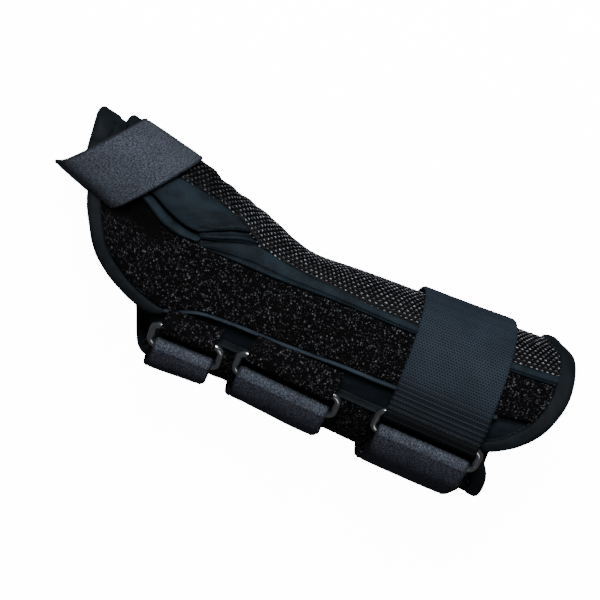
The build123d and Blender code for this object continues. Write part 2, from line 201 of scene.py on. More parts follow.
def thumb_frame(u):
    """Point of the thumb line at u, and the directions along it, up and to its side."""
    u = np.asarray(u, float)
    origin = np.stack([np.interp(u, LINE_ALONG, LINE_POINTS[:, i]) for i in range(3)], -1)
    along = unit(np.stack([np.interp(u, LINE_ALONG, LINE_TANGENTS[:, i]) for i in range(3)], -1))
    up = unit(np.array([0, 0, 1.0]) - along * along[..., 2:3])
    return origin, along, up, np.cross(along, up)


def thumb_rays(u, angle):
    """Rays from the thumb line: 0 is the back, negative angles are the outer side."""
    u, angle = np.broadcast_arrays(np.asarray(u, float), np.asarray(angle, float))
    origin, _, up, side = thumb_frame(u)
    turn = np.radians(angle)[..., None]
    return origin, up * np.cos(turn) + side * np.sin(turn)


def on_arm(x, angle):
    points = cast(*arm_rays(x, angle))
    return points, form_normal(points)


def on_thumb(u, angle):
    points = cast(*thumb_rays(u, angle))
    return points, form_normal(points)


def on_tube(u, angle):
    """Point of the thumb tube alone, also where the sleeve covers it."""
    origins, directions = thumb_rays(u, angle)
    radius = smooth(THUMB_RADIUS, u)[..., None]
    return origins + directions * radius, directions


def on_oval(x, angle, off=0.0):
    """Point of the sleeve alone, moved out by off, on the angles that the CAD uses."""
    x, angle, off = np.broadcast_arrays(*[np.asarray(value, float) for value in (x, angle, off)])
    half_width = smooth(HALF_WIDTH, x)
    half_height = smooth(HALF_HEIGHT, x)
    turn = np.radians(angle)
    return np.stack([x, (half_width + off) * np.cos(turn),
                     FLOOR_TO_SHELL + half_height + (half_height + off) * np.sin(turn)], -1)


def to_arm(points):
    """x and angle of points, as arm_rays takes them."""
    middle = FLOOR_TO_SHELL + smooth(HALF_HEIGHT, points[..., 0])
    return points[..., 0], np.degrees(np.arctan2(points[..., 2] - middle, points[..., 1]))


def to_thumb(points):
    """u and angle of points, as thumb_rays takes them."""
    flat = points.reshape(-1, 3)
    ahead = ((flat[:, None, :] - LINE_POINTS[None]) * LINE_TANGENTS[None]).sum(-1)
    k = np.argmax((ahead[:, :-1] >= 0) & (ahead[:, 1:] < 0), axis=1)
    rows = np.arange(len(flat))
    first, second = ahead[rows, k], ahead[rows, k + 1]
    u = LINE_ALONG[k] + first / (first - second)
    origin, _, up, side = thumb_frame(u)
    offset = flat - origin
    angle = np.degrees(np.arctan2((offset * side).sum(-1), (offset * up).sum(-1)))
    return u.reshape(points.shape[:-1]), angle.reshape(points.shape[:-1])


# ---- small helpers for shapes ----
def lumps(p, size, seed):
    """Soft unevenness between about -1 and 1, the same each time."""
    total = 0
    for k in range(5):
        phase = np.array([seed * 3.1 + k * 7.3, seed * 5.7 + k * 2.9 + 1, seed + k * 4.1 + 2])
        a = unit(np.sin(phase))
        total = total + np.sin(p @ a * (2 * math.pi / (size * (0.7 + 0.23 * k))) + seed * (k + 1.7))
    return total / 3.0


def on_sheet(u, v, mask=0.0):
    """Places on a piece's cloth laid flat: run along it, run across it, and its mask."""
    return np.stack([u, v, np.broadcast_to(mask, u.shape)], -1)


def scatter(shape, seed):
    """Even random numbers from 0 to 1, the same each time."""
    return np.random.default_rng(seed).random(shape)


def lengths(points, axis):
    """Distance run along an axis of a grid of points."""
    steps = np.linalg.norm(np.diff(points, axis=axis), axis=-1)
    start = np.zeros_like(np.take(steps, [0], axis=axis))
    return np.cumsum(np.concatenate([start, steps], axis=axis), axis=axis)


THUMB_SCALE = (1.0, 0.37)  # millimetres for each step of u and each degree on the thumb tube
ARM_SCALE = (1.0, 0.6)  # the same on the forearm


def route(points, scale=ARM_SCALE):
    """Smooth curve through points, as a function of 0 to 1; scale turns them into millimetres."""
    points = np.array(points, float)
    steps = np.linalg.norm(np.diff(points, axis=0) * np.array(scale), axis=1)
    at = np.concatenate([[0], np.cumsum(steps)])
    at /= at[-1]
    tables = [list(zip(at, points[:, i])) for i in range(points.shape[1])]
    return lambda t: np.stack([smooth(table, t) for table in tables], -1)


def across_stations(start, end, table):
    """Border whose first number runs evenly from start to end and whose second is the table's."""
    def border(t):
        x = start + (end - start) * t
        return np.stack([x, smooth(table, x)], -1)
    return border


def rounded(distance, radius):
    """Drop of an edge that is rounded over: radius at the edge, 0 from radius inwards."""
    d = np.clip(distance, 0, radius)
    return radius - np.sqrt(np.maximum(radius ** 2 - (radius - d) ** 2, 0))


def spread(count, edge, fine):
    """Even steps from 0 to 1 with a few more close to each end."""
    middle = np.linspace(edge, 1 - edge, max(2, count))
    start = edge * (np.arange(fine) / fine) ** 1.3
    return np.concatenate([start, middle, 1 - start[::-1]])


# ---- meshes and pieces ----
def make_mesh(name, vertices, faces, weave, sharp=55):
    mesh = bpy.data.meshes.new(name)
    mesh.from_pydata(world(vertices).tolist(), [], faces)
    mesh.polygons.foreach_set("use_smooth", np.ones(len(mesh.polygons), bool))
    attribute = mesh.attributes.new("weave", "FLOAT_VECTOR", "POINT")
    attribute.data.foreach_set("vector", np.asarray(weave, np.float32).ravel())
    mesh.set_sharp_from_angle(angle=math.radians(sharp))
    mesh.update()
    piece = bpy.data.objects.new(name, mesh)
    bpy.context.scene.collection.objects.link(piece)
    return piece


def finish_piece(piece, material, body, nodes=(), bend=None):
    """Gives a piece its material and hides the CAD nodes that it stands for; it hangs the piece on its body,
    or, with a bend, bakes its place into the mesh instead.
    """
    piece.data.materials.append(MATERIALS[material])
    if nodes:
        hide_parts(*nodes)
    if bend:
        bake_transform(piece)
    else:
        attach(piece, body)
    return piece


def make_solid(name, vertices, faces, weave, sharp):
    """Closed mesh with its faces turned outward."""
    piece = make_mesh(name, vertices.reshape(-1, 3), faces, weave.reshape(-1, 3), sharp)
    mesh = piece.data
    mesh.calc_loop_triangles()
    points = np.array([v.co for v in mesh.vertices])
    corners = np.array([t.vertices for t in mesh.loop_triangles])
    a, b, c = np.moveaxis(points[corners], 1, 0)
    if (np.cross(a, b) * c).sum() < 0:
        mesh.flip_normals()
    return piece


def grid_faces(rows, columns, first=0, flip=False, wrap_rows=False, wrap_columns=False):
    r = np.arange(rows if wrap_rows else rows - 1)
    c = np.arange(columns if wrap_columns else columns - 1)
    r, c = np.meshgrid(r, c, indexing="ij")
    rn, cn = (r + 1) % rows, (c + 1) % columns
    corners = [r * columns + c, rn * columns + c, rn * columns + cn, r * columns + cn]
    quads = np.stack(corners, -1).reshape(-1, 4)
    if flip:
        quads = quads[:, ::-1]
    return (quads + first).tolist()


def end_caps(rows, columns):
    """Faces that close both ends of a tube made by a grid."""
    return [list(range(columns))[::-1], [(rows - 1) * columns + k for k in range(columns)]]


def slab(name, outer, inner, weave):
    """Closed slab between two grids of the same size."""
    rows, columns = outer.shape[:2]
    back = rows * columns
    faces = grid_faces(rows, columns) + grid_faces(rows, columns, back, flip=True)
    ids = np.arange(back).reshape(rows, columns)
    ring = np.concatenate([ids[0, :], ids[1:, -1], ids[-1, -2::-1], ids[-2:0:-1, 0]])
    for k in range(len(ring)):
        a, b = int(ring[k]), int(ring[(k + 1) % len(ring)])
        faces.append((a, b, b + back, a + back))
    vertices = np.concatenate([outer, inner]).reshape(-1, 3)
    return make_mesh(name, vertices, faces, np.concatenate([weave, weave]).reshape(-1, 3))


def facing(points, normals):
    """True if the grid's own faces look along the normals."""
    i, j = points.shape[0] // 2, points.shape[1] // 2
    a = points[min(i + 1, points.shape[0] - 1), j] - points[i - 1, j]
    b = points[i, min(j + 1, points.shape[1] - 1)] - points[i, j - 1]
    return np.cross(a, b) @ normals[i, j] > 0


def panel(name, surface, low, high, size, step, top=0.0, thick=PANEL, edge=(1, 1, 1, 1), radius=1.2,
          relief=None, mask=None, closed=True):
    """Sewn panel over the form, between a low and a high border.

    size is its (length, width), step the (length, width) of its cells, edge which of its start,
    end, low and high edges are rolled over, relief and mask functions of the grid. A panel that
    is not closed has no inner side."""
    rows = spread(int(size[0] / step[0]), min(0.2, 1.6 / size[0]), 4)
    columns = spread(int(size[1] / step[1]), min(0.2, 1.6 / size[1]), 4)
    borders = low(rows), high(rows)
    share = columns[None, :, None]
    chart = borders[0][:, None, :] * (1 - share) + borders[1][:, None, :] * share
    points, normals = surface(chart[..., 0], chart[..., 1])
    run = lengths(points, 0)
    cross = lengths(points, 1)
    middle = points.shape[1] // 2
    u = np.broadcast_to(run[:, middle:middle + 1], run.shape)
    v = cross - cross[:, middle:middle + 1]
    gaps = [u, u[-1:] - u, cross, cross[:, -1:] - cross]
    distance = np.min([gap for gap, rolled in zip(gaps, edge) if rolled], axis=0)
    rise = top - rounded(distance, radius)
    if relief:
        rise = rise + relief(u, v, chart, distance)
    outer = points + normals * rise[..., None]
    inner = points + normals * (top - thick)
    weave = on_sheet(u, v, mask(u, v, chart) if mask else 0.0)
    if not facing(points, normals):
        outer, inner, weave = outer[:, ::-1], inner[:, ::-1], weave[:, ::-1]
    if closed:
        return slab(name, outer, inner, weave)
    skirted = np.concatenate([inner[:1], outer, inner[-1:]])
    sides = np.concatenate([inner[:1], inner, inner[-1:]])
    skirted = np.concatenate([sides[:, :1], skirted, sides[:, -1:]], axis=1)
    weave = np.pad(weave, ((1, 1), (1, 1), (0, 0)), mode="edge")
    return make_mesh(name, skirted.reshape(-1, 3), grid_faces(*skirted.shape[:2]), weave.reshape(-1, 3))


ROLL_STEP = 1.2  # millimetres between the rows of a roll


def roll(name, surface, seam, rim, length, section, seed, pucker=0.12):
    """Binding folded over an edge: its section, (distance from the seam, height), follows two paths."""
    t = np.linspace(0, 1, int(length / ROLL_STEP) + 1)
    section = np.array(section, float)
    width = section[:, 0].max()
    share = (section[:, 0] / width)[None, :, None]
    chart = seam(t)[:, None, :] * (1 - share) + rim(t)[:, None, :] * share
    points, normals = surface(chart[..., 0], chart[..., 1])
    heights = np.broadcast_to(section[:, 1], points.shape[:2]).copy()
    middle = heights.mean(axis=1, keepdims=True)
    puff = pucker * (lumps(points, 9.0, seed) + 0.7 * lumps(points, 3.4, seed + 4))
    heights += puff * np.sign(heights - middle) * (np.abs(heights - middle) > 0.6)
    solid = points + normals * heights[..., None]
    if np.linalg.norm(solid[0, 0] - solid[0, -1]) < 1e-6:
        solid = solid[:, :-1]
    rows, count = solid.shape[:2]
    u = lengths(solid, 0)
    weave = on_sheet(u, lengths(solid, 1))
    faces = grid_faces(rows, count, wrap_columns=True) + end_caps(rows, count)
    return make_solid(name, solid, faces, weave, 70)


STRAP_EDGE = 0.9


def strip(name, centres, thickness, out, relief=None, mask=None):
    """Strap through a grid of centres (path, width); out gives its outer side roughly."""
    along = np.gradient(centres, axis=0)
    across = np.gradient(centres, axis=1)
    normals = unit(np.cross(along, across))
    if (normals[0, centres.shape[1] // 2] @ np.asarray(out, float)) < 0:
        normals = -normals
    u = np.broadcast_to(lengths(centres, 0)[:, centres.shape[1] // 2][:, None], centres.shape[:2])
    cross = lengths(centres, 1)
    v = cross - cross[:, -1:] / 2
    distance = np.minimum(cross, cross[:, -1:] - cross)
    half = thickness / 2 * (1 - 0.62 * rounded(distance, STRAP_EDGE) / STRAP_EDGE)
    top = half + (relief(u, v) if relief else 0)
    outer = centres + normals * top[..., None]
    inner = centres - normals * half[..., None]
    weave = on_sheet(u, v, mask(u, v) if mask else 0.0)
    if not facing(outer, normals):
        outer, inner, weave = outer[:, ::-1], inner[:, ::-1], weave[:, ::-1]
    return slab(name, outer, inner, weave)


def on_path(run, values, at):
    """Value at a distance along a path."""
    return np.array([np.interp(at, run, values[:, i]) for i in range(3)])


def stitches(name, points, normals, pitch=2.6, length=1.7, radius=0.24, rise=0.1):
    """Row of sewn stitches along a path."""
    run = lengths(points, 0)
    centres = np.arange(pitch / 2, run[-1] - pitch / 2, pitch)
    vertices, faces, weave = [], [], []
    for centre in centres:
        ends = [on_path(run, points, centre + side * length / 2) for side in (-1, 1)]
        normal = unit(on_path(run, normals, centre))
        direction = ends[1] - ends[0]
        side = unit(np.cross(direction, normal))
        first = len(vertices)
        for share, size in ((0.0, 0.25), (0.18, 0.8), (0.5, 1.0), (0.82, 0.8), (1.0, 0.25)):
            middle = ends[0] + direction * share + normal * (rise + 0.35 * radius * math.sin(math.pi * share))
            for k in range(6):
                a = 2 * math.pi * k / 6
                vertices.append(middle + (normal * math.sin(a) + side * math.cos(a)) * radius * size)
                weave.append((centre, share, 0))
        faces += grid_faces(5, 6, first, wrap_columns=True)
        faces += [[first + k for k in range(6)], [first + 24 + k for k in range(5, -1, -1)]]
    return make_solid(name, np.array(vertices), faces, np.array(weave), 80)


# ---- materials ----
class Wire:
    """Output of a node, with the sums that the materials are written in."""

    def __init__(self, socket):
        self.socket = socket
        self.tree = socket.id_data

    def math(self, operation, *others):
        values = dict(enumerate((self, *others)))
        return Wire(add_node(self.tree, "ShaderNodeMath", values, operation=operation).outputs[0])

    def __add__(self, other):
        return self.math("ADD", other)

    def __sub__(self, other):
        return self.math("SUBTRACT", other)

    def __mul__(self, other):
        return self.math("MULTIPLY", other)

    def __truediv__(self, other):
        return self.math("DIVIDE", other)

    def __pow__(self, other):
        return self.math("POWER", other)

    def ramp(self, low, high, out_low=0.0, out_high=1.0):
        """Smooth step from low to high; high may be the smaller one."""
        values = {"Value": self, "From Min": low, "From Max": high, "To Min": out_low, "To Max": out_high}
        node = add_node(self.tree, "ShaderNodeMapRange", values, interpolation_type="SMOOTHSTEP")
        return Wire(node.outputs[0])

    def wave(self, pitch):
        return (self * (2 * math.pi / pitch)).math("SINE")


def put(tree, socket, value):
    """Links a wire to a socket, or sets the socket to a constant."""
    if isinstance(value, Wire):
        tree.links.new(value.socket, socket)
    else:
        socket.default_value = value


def fill_in(node, values):
    for key, value in values.items():
        put(node.id_data, node.inputs[key], value)


def add_node(tree, kind, values=None, **settings):
    node = tree.nodes.new(kind)
    for key, value in settings.items():
        setattr(node, key, value)
    fill_in(node, values or {})
    return node


def mix(share, first, second):
    """Colour between two colours."""
    values = {"Factor": share, 6: first, 7: second}
    return Wire(add_node(share.tree, "ShaderNodeMix", values, data_type="RGBA").outputs[2])


def noise(place, scale, detail=2.0, roughness=0.5, output=0):
    values = {"Vector": place, "Scale": scale, "Detail": detail, "Roughness": roughness}
    return Wire(add_node(place.tree, "ShaderNodeTexNoise", values).outputs[output])


def vector(operation, first, second):
    node = add_node(first.tree, "ShaderNodeVectorMath", {0: first, 1: second}, operation=operation)
    return Wire(node.outputs[0])


def curl(flat, scale, detail, amount):
    """Places that are pushed about, so that a pattern on them curls."""
    push = vector("MULTIPLY", noise(flat, scale, detail, output="Color"), (amount, amount, 0.0))
    return vector("ADD", flat, push)


def tone(red, green, blue):
    """Linear colour from the 0 to 255 values of a screen colour."""
    linear = [((c / 255 + 0.055) / 1.055) ** 2.4 if c > 10 else c / 255 / 12.92 for c in (red, green, blue)]
    return (*linear, 1.0)


def start_material(name):
    material = bpy.data.materials.new(name)
    material.use_nodes = True
    return material, material.node_tree, material.node_tree.nodes["Principled BSDF"]


def start_fabric(name, roughness, sheen=0.0, sheen_tone=None, specular=0.5):
    """Material with its shader and three wires: run along the piece, run across it, and its mask."""
    material, tree, shader = start_material(name)
    fill_in(shader, {"Roughness": roughness, "Sheen Weight": sheen, "Sheen Roughness": 0.45,
                     "Specular IOR Level": specular})
    if sheen_tone:
        fill_in(shader, {"Sheen Tint": sheen_tone})
    weave = Wire(add_node(tree, "ShaderNodeAttribute", attribute_name="weave").outputs["Vector"])
    parts = add_node(tree, "ShaderNodeSeparateXYZ", {0: weave}).outputs
    return material, shader, Wire(parts[0]), Wire(parts[1]), Wire(parts[2])


def finish_material(shader, colour, height, strength, distance):
    values = {"Height": height, "Strength": strength, "Distance": distance}
    bump = add_node(colour.tree, "ShaderNodeBump", values)
    fill_in(shader, {"Base Color": colour, "Normal": Wire(bump.outputs[0])})


def flat_place(u, v):
    return Wire(add_node(u.tree, "ShaderNodeCombineXYZ", {0: u, 1: v}).outputs[0])


def in_cell(cells):
    """How far a place, counted in cells, is from the middle of its cell."""
    return cells.math("FRACT") - 0.5


def every_other(run, pitch):
    """Half a cell for every second row, none for the others."""
    return (run / pitch).math("FLOOR").math("FLOORED_MODULO", 2.0) * 0.5


def pile_material(name, base, speck, share):
    """Looped pile: dark ground, curled loops that catch the light, and painted shade by mask, where the
    loops' light fades out.
    """
    material, shader, u, v, mask = start_fabric(name, 0.7, specular=0.06)
    flat = flat_place(u, v)
    curled = curl(flat, 1.1, 1.0, 0.9)
    spots = []
    for scale, reach in ((0.78, 0.44), (1.05, 0.4)):
        values = {"Vector": curled, "Scale": scale, "Randomness": 1.0}
        cells = add_node(u.tree, "ShaderNodeTexVoronoi", values).outputs
        pick = Wire(add_node(u.tree, "ShaderNodeSeparateXYZ", {0: Wire(cells["Color"])}).outputs[0])
        core = Wire(cells["Distance"]).ramp(reach, reach * 0.3)
        spots.append(core * pick.ramp(1 - share, 1.0) ** 1.1)
    patchy = noise(flat, 0.1, 3.0).ramp(0.35, 0.65, 0.72, 1.0)
    fine = noise(flat, 2.2, 3.0, 0.6).ramp(0.34, 0.66, 0.45, 1.0)
    # painted shade: the mask takes the loops' light away
    light = spots[0].math("MAXIMUM", spots[1]) * patchy * fine * mask.ramp(1.0, 0.0)
    ground = mix(fine * core, tone(*base), tone(*[c * 2.4 + 3 for c in base]))
    finish_material(shader, mix(light, ground, tone(*speck)), core + fine * 0.7, 0.9, 0.0007)
    return material


def mesh_material(name, base, speck):
    """Coarse spacer mesh: rows of bright yarn knots on an open black ground."""
    material, shader, u, v, _ = start_fabric(name, 0.6, specular=0.08)
    pitch_u, pitch_v = MESH_PITCH
    across = in_cell(u / pitch_u + every_other(v, pitch_v)) * 0.95
    down = in_cell(v / pitch_v) * 1.25
    knot = (across * across + down * down).math("SQRT").ramp(0.33, 0.13)
    flat = flat_place(u, v)
    uneven = noise(flat, 0.35, 2.0).ramp(0.35, 0.68, 0.15, 1.0)
    fine = noise(flat, 2.2, 2.0).ramp(0.3, 0.6, 0.4, 1.0)
    light = knot * uneven * fine * u.ramp(40.0, 75.0, 0.3, 1.0)
    ground = mix(knot, tone(*base), tone(*[c * 2.2 for c in base]))
    finish_material(shader, mix(light, ground, tone(*speck)), knot, 0.8, 0.0006)
    return material


SHADE = (0.0006, 0.0007, 0.0009, 1.0)


def knit_material(name, base, light, roughness=0.68, sheen=0.25, ribs=0.55, grain=0.35):
    """Smooth stretch fabric: fine knit, soft sheen and slow changes of tone; its mask is shade."""
    material, shader, u, v, mask = start_fabric(name, roughness, sheen, tone(110, 140, 165), 0.1)
    flat = flat_place(u, v)
    slow = noise(flat, 0.09, 3.0).ramp(0.3, 0.7)
    knit = v.wave(ribs) * u.wave(ribs * 1.3) * 0.5 + 0.5
    dust = noise(flat, 1.7, 4.0, 0.7).ramp(0.35, 0.75)
    colour = mix(knit * 0.12 + slow * 0.45 + dust * grain, tone(*base), tone(*light))
    colour = mix(mask * 0.9, colour, SHADE)
    finish_material(shader, colour, knit + dust * 0.8, 0.35, 0.00018)
    return material


def brushed_material(name, base, light, sheen=0.35, size=1.0, contrast=0.6):
    """Brushed nylon strap: short matted fibres, speckled grey over near black; its mask darkens it, along the
    edges and as painted shade towards the strap ends.
    """
    material, shader, u, v, mask = start_fabric(name, 0.85, sheen, tone(150, 150, 170), 0.05)
    flat = flat_place(u, v)
    fibres = noise(curl(flat, 0.8 * size, 2.0, 1.6), 1.15 * size, 3.0, 0.6).ramp(0.4, 0.62)
    specks = noise(flat, 2.0 * size, 2.0, 0.6).ramp(0.46, 0.7)
    slow = noise(flat, 0.07, 3.0).ramp(0.3, 0.7, 0.8, 1.0)
    grain = fibres * 0.65 + specks * 0.5
    # the mask lowers the light share: darker edges, and painted shade on the strap ends
    share = (grain * contrast + (1 - contrast)) * slow * mask.ramp(0.0, 1.0, 1.0, 0.3)
    finish_material(shader, mix(share, tone(*base), tone(*light)), grain, 0.8, 0.0004)
    return material


def webbing_material(name, base, light):
    """Woven elastic: small dark holes in staggered rows, raised ribs near its hem, and a black hem."""
    material, shader, u, v, mask = start_fabric(name, 0.7, 0.04, tone(130, 150, 180), 0.08)
    pitch_u, pitch_v, rib_pitch = 1.25, 1.35, 2.3
    down = in_cell(v / pitch_v + every_other(u, pitch_u))
    across = in_cell(u / pitch_u)
    yarn = (down * down + across * across).math("SQRT").ramp(0.12, 0.42)
    rib = u.wave(rib_pitch).ramp(-0.6, 0.7)
    near_hem = mask.ramp(0.05, 0.5)
    flat = flat_place(u, v)
    fine = noise(flat, 2.4, 3.0, 0.6).ramp(0.3, 0.7, 0.55, 1.0)
    slow = noise(flat, 0.06, 2.0).ramp(0.3, 0.7, 0.75, 1.0)
    ribbed = (rib * 0.75 + 0.1) * (yarn * 0.5 + 0.5)
    values = {0: near_hem, 2: yarn * 0.75 + 0.25, 3: ribbed}
    woven = Wire(add_node(u.tree, "ShaderNodeMix", values, data_type="FLOAT").outputs[0])
    shade = mask.ramp(0.0, 0.45, 1.0, 0.6) * mask.ramp(0.45, 1.0, 1.0, 0.04)
    colour = mix(woven * fine * slow * shade, tone(*base), tone(*light))
    finish_material(shader, colour, yarn + rib * near_hem, 0.7, 0.0004)
    return material


def hard_material(name, base, worn, roughness, metallic=0.0, coat=0.0, brush=(1.0, 1.0), ior=1.5):
    """Moulded plastic or metal, with faint wear and fine marks; it reads the mesh's own place."""
    material, tree, shader = start_material(name)
    fill_in(shader, {"Metallic": metallic, "IOR": ior, "Coat Weight": coat, "Coat Roughness": 0.06})
    place = Wire(add_node(tree, "ShaderNodeTexCoord").outputs["Object"])
    scaled = vector("MULTIPLY", place, (1000 * brush[0], 1000 * brush[1], 1000.0))
    marks = noise(scaled, 0.8, 4.0, 0.65)
    colour = mix(noise(scaled, 0.09).ramp(0.35, 0.7), tone(*base), tone(*worn))
    fill_in(shader, {"Roughness": marks.ramp(0.3, 0.7, roughness * 0.8, roughness * 1.35)})
    finish_material(shader, colour, marks, 0.12, 0.0001)
    return material


MESH_PITCH = (2.5, 1.95)
MATERIALS = {
    "pile": pile_material("looped_pile", (2, 2, 3), (100, 100, 107), 0.8),
    "mesh": mesh_material("spacer_mesh", (1, 1, 2), (138, 142, 150)),
    "knit": knit_material("smooth_fabric", (2, 5, 8), (25, 36, 44), 0.75, 0.03, grain=0.6),
    "binding": knit_material("stretch_binding", (3, 5, 7), (16, 22, 27), 0.7, 0.03),
    "piping": knit_material("closure_piping", (14, 20, 26), (42, 52, 62), 0.7, 0.03),
    "tongue": knit_material("tongue_fabric", (2, 4, 7), (12, 19, 27), 0.75, 0.02),
    "lining": brushed_material("brushed_lining", (12, 12, 14), (38, 38, 42), 0.05, 0.8),
    "strap": brushed_material("brushed_strap", (4, 4, 6), (88, 95, 107), 0.04, 1.35, 0.9),
    # The strap ends take a darker copy of the strap fabric: painted shade.
    "tail": brushed_material("shaded_strap_end", (2, 2, 4), (70, 73, 85), 0.03, 1.35, 0.92),
    "webbing": webbing_material("woven_elastic", (3, 4, 6), (37, 46, 56)),
    "thread": knit_material("sewing_thread", (12, 14, 17), (56, 62, 68), 0.5, 0.0, 0.3),
    "hook": hard_material("hook_field", (22, 22, 24), (34, 34, 37), 0.55),
    "ring": hard_material("glossy_loop", (14, 18, 22), (26, 31, 36), 0.2, coat=1.0, ior=2.6),
    "grip": hard_material("satin_cap", (18, 18, 20), (34, 34, 36), 0.45),
    "aluminium": hard_material("brushed_stay", (176, 178, 182), (205, 207, 210), 0.34, 1.0,
                               brush=(0.04, 1.0)),
    "steel": hard_material("spring_steel", (150, 152, 156), (186, 188, 192), 0.22, 1.0, brush=(0.05, 1.0)),
}

# ---- borders of the panels ----
# Tables of (x, angle) on the forearm; those of the band, gusset and mesh are (u, angle) on the thumb.
STRIP_LOW = [(35, 38.6), (50, 38.7), (77, 37.2), (99, 36.8), (133, 38.9), (186, 39.6), (215, 37.5)]
STRIP_TOP = [(35, 37.4), (45, 32), (55, 26.2), (63, 22.2), (80, 23), (97, 26), (131, 31), (186, 32),
             (215, 30)]
CLOSURE_EDGE = [(-9.5, 38.5), (-7, 46), (-3, 62), (2, 75), (7.5, 85.6), (13, 95), (19.6, 103), (26, 108),
                (30.5, 110.5), (36, 107), (47, 95.6), (62, 90.6), (81, 88.6), (98, 86.6), (115, 84),
                (139, 82.4), (165, 78), (190, 71.9), (201, 69.1), (215, 66)]
FAR_EDGE = [(11, 126), (17, 129.5), (26, 134), (33, 132), (45, 122), (54, 118), (81, 115), (112, 110.4),
            (142, 108.3), (193, 99), (215, 96)]
PALM_EDGE = [(-14, 311), (-6, 284), (4, 260), (16, 241), (30, 226)]
SLEEVE_START = 30.0
BAND_LOW = [(30, -5), (36, -5), (40, -4), (46, 0.5), (52, 4.6), (61, 4.2), (69.5, 0)]
BAND_HIGH = [(30, 8), (36, 8), (40, 9), (46, 13.5), (52, 17.5), (61, 15.4), (69.5, 5.6)]
GUSSET_TOP = [(16, 36), (26, 20), (34, -4), (40, -7), (51, -2), (60, -1), (66.5, -5)]
MESH_EDGE = [(14, -53), (30, -50), (44, -49), (62, -54), (78, -53), (84, -47.5), (91, -42)]
PALM_SIDE = 225.0
MESH_LOW_ANGLE = -45.0


def convert(points, read, write):
    """Table of chart points, read with one surface and written in the other chart."""
    chart = np.array(points, float)
    places, _ = read(chart[:, 0], chart[:, 1])
    return np.stack(write(places), -1)


def pile_low():
    """Lower border of the loop panel: along the thumb's edge band, then along the strip."""
    by_band = convert(BAND_HIGH, on_thumb, to_arm)
    table = [(-12.0, by_band[0][1])] + [tuple(p) for p in by_band[1:]]
    return table + [(50, 38.9), (77, 37.4), (99, 37.0), (133, 39.1), (186, 39.8), (215, 37.7)]


PILE_LOW = pile_low()


def pile_relief(seed, depth=0.42):
    def relief(u, v, chart, distance):
        loops = scatter(u.shape, seed) ** 1.6
        return depth * loops * ease(distance, 0.2, 1.5) + 0.12 * np.sin(u / 9.0 + seed) * np.cos(v / 7.0)
    return relief


def mesh_relief(u, v, chart, distance):
    pitch_u, pitch_v = MESH_PITCH
    odd = (np.floor(v / pitch_v) % 2) * 0.5
    fu = (u / pitch_u + odd) % 1 - 0.5
    fv = (v / pitch_v) % 1 - 0.5
    knot = 1 - ease(np.hypot(fu * 0.95, fv * 1.25), 0.12, 0.5)
    waves = 0.35 * bell(u, 52, 30) * np.sin(u * 2 * math.pi / 10.5)
    outer = ease(-chart[..., 1], 62, 92)
    stand = 2.2 * bell(chart[..., 0], 53, 9) - 1.3 * ease(chart[..., 0], 88, 112)
    return (0.62 * knot + waves - 0.15) * ease(distance, 0.2, 1.6) + stand * outer


def knit_relief(amount, size, seed):
    def relief(u, v, chart, distance):
        return amount * lumps(on_sheet(u, v), size, seed) * ease(distance, 0, 2.5)
    return relief


# ---- panels on the back of the hand and forearm ----
def sew(name, material, nodes, surface, low, high, size, step, **options):
    """Panel that is part of the shell, in place of some CAD nodes."""
    finish_piece(panel(name, surface, low, high, size, step, **options), material, "shell", nodes)


def painted_valley_shade(u, v, chart):
    """Painted shade on the pile in the dip below the thumb's band."""
    border = smooth(PILE_LOW, chart[..., 0])
    past = (chart[..., 1] - border) * 0.62
    return (1 - ease(past, 3.0, 10.0)) * (1 - ease(chart[..., 0], 12, 30))


PANEL_END = 209.5
MESH_X_END = 204.0
loop_low = across_stations(-13.0, PANEL_END, PILE_LOW)
loop_high = across_stations(-9.0, PANEL_END, CLOSURE_EDGE)
# the pile's mask paints shade below the thumb's band
sew("loop_panel", "pile", ["radial_loop_panel"], on_arm, loop_low, loop_high, (215, 40), (0.75, 0.6),
    relief=pile_relief(3), mask=painted_valley_shade)


def strip_relief(u, v, chart, distance):
    """Flat strip with a narrow ridge along the pile, and a soft crown."""
    top = smooth(STRIP_TOP, chart[..., 0])
    low = smooth(STRIP_LOW, chart[..., 0])
    share = np.clip((chart[..., 1] - top) / (low - top), 0, 1)
    groove = -0.75 * bell(share, 0.74, 0.05)
    crown = 0.55 * np.sin(np.pi * np.clip(share / 0.74, 0, 1)) + 0.55 * bell(share, 0.9, 0.1)
    return (groove + crown) * ease(u, 0, 6)


def strip_mask(u, v, chart):
    """Shaded start below the gathered cloth."""
    return 0.6 * (1 - ease(u, 8, 28))


strip_low = across_stations(36.0, PANEL_END, STRIP_TOP)
strip_high = across_stations(36.0, PANEL_END, [(x, a - 0.35) for x, a in STRIP_LOW])
sew("stay_strip", "knit", ["stay_sleeve"], on_arm, strip_low, strip_high, (170, 8), (1.2, 0.33), top=-0.1,
    thick=2.9, relief=strip_relief, mask=strip_mask, radius=0.7)

ulnar_low = across_stations(SLEEVE_START + 16, 187.0, [(x, a + 3.6) for x, a in FAR_EDGE])
ulnar_high = across_stations(SLEEVE_START, 201.5, [(0, PALM_SIDE), (215, PALM_SIDE)])
sew("ulnar_pile_panel", "pile", ["ulnar_loop_panel"], on_arm, ulnar_low, ulnar_high, (190, 65), (1.1, 1.0),
    relief=pile_relief(8))

# ---- mesh along the thumb and the outer side of the forearm ----
def mesh_borders():
    stations = (66, 80, 97, 131, 160, 186, PANEL_END)
    by_strip = convert([(x, smooth(STRIP_TOP, x)) for x in stations], on_arm, to_thumb)
    top = MESH_EDGE + [tuple(p) for p in by_strip]
    stations = (6, 20, 40, 63, 80, 100, 130, 160, MESH_X_END)
    below = convert([(x, MESH_LOW_ANGLE) for x in stations], on_arm, to_thumb)
    low = [(u, a - 360 if a > 0 else a) for u, a in below]
    return [(14.0, -180.0), (20.0, -181.0)] + low, top


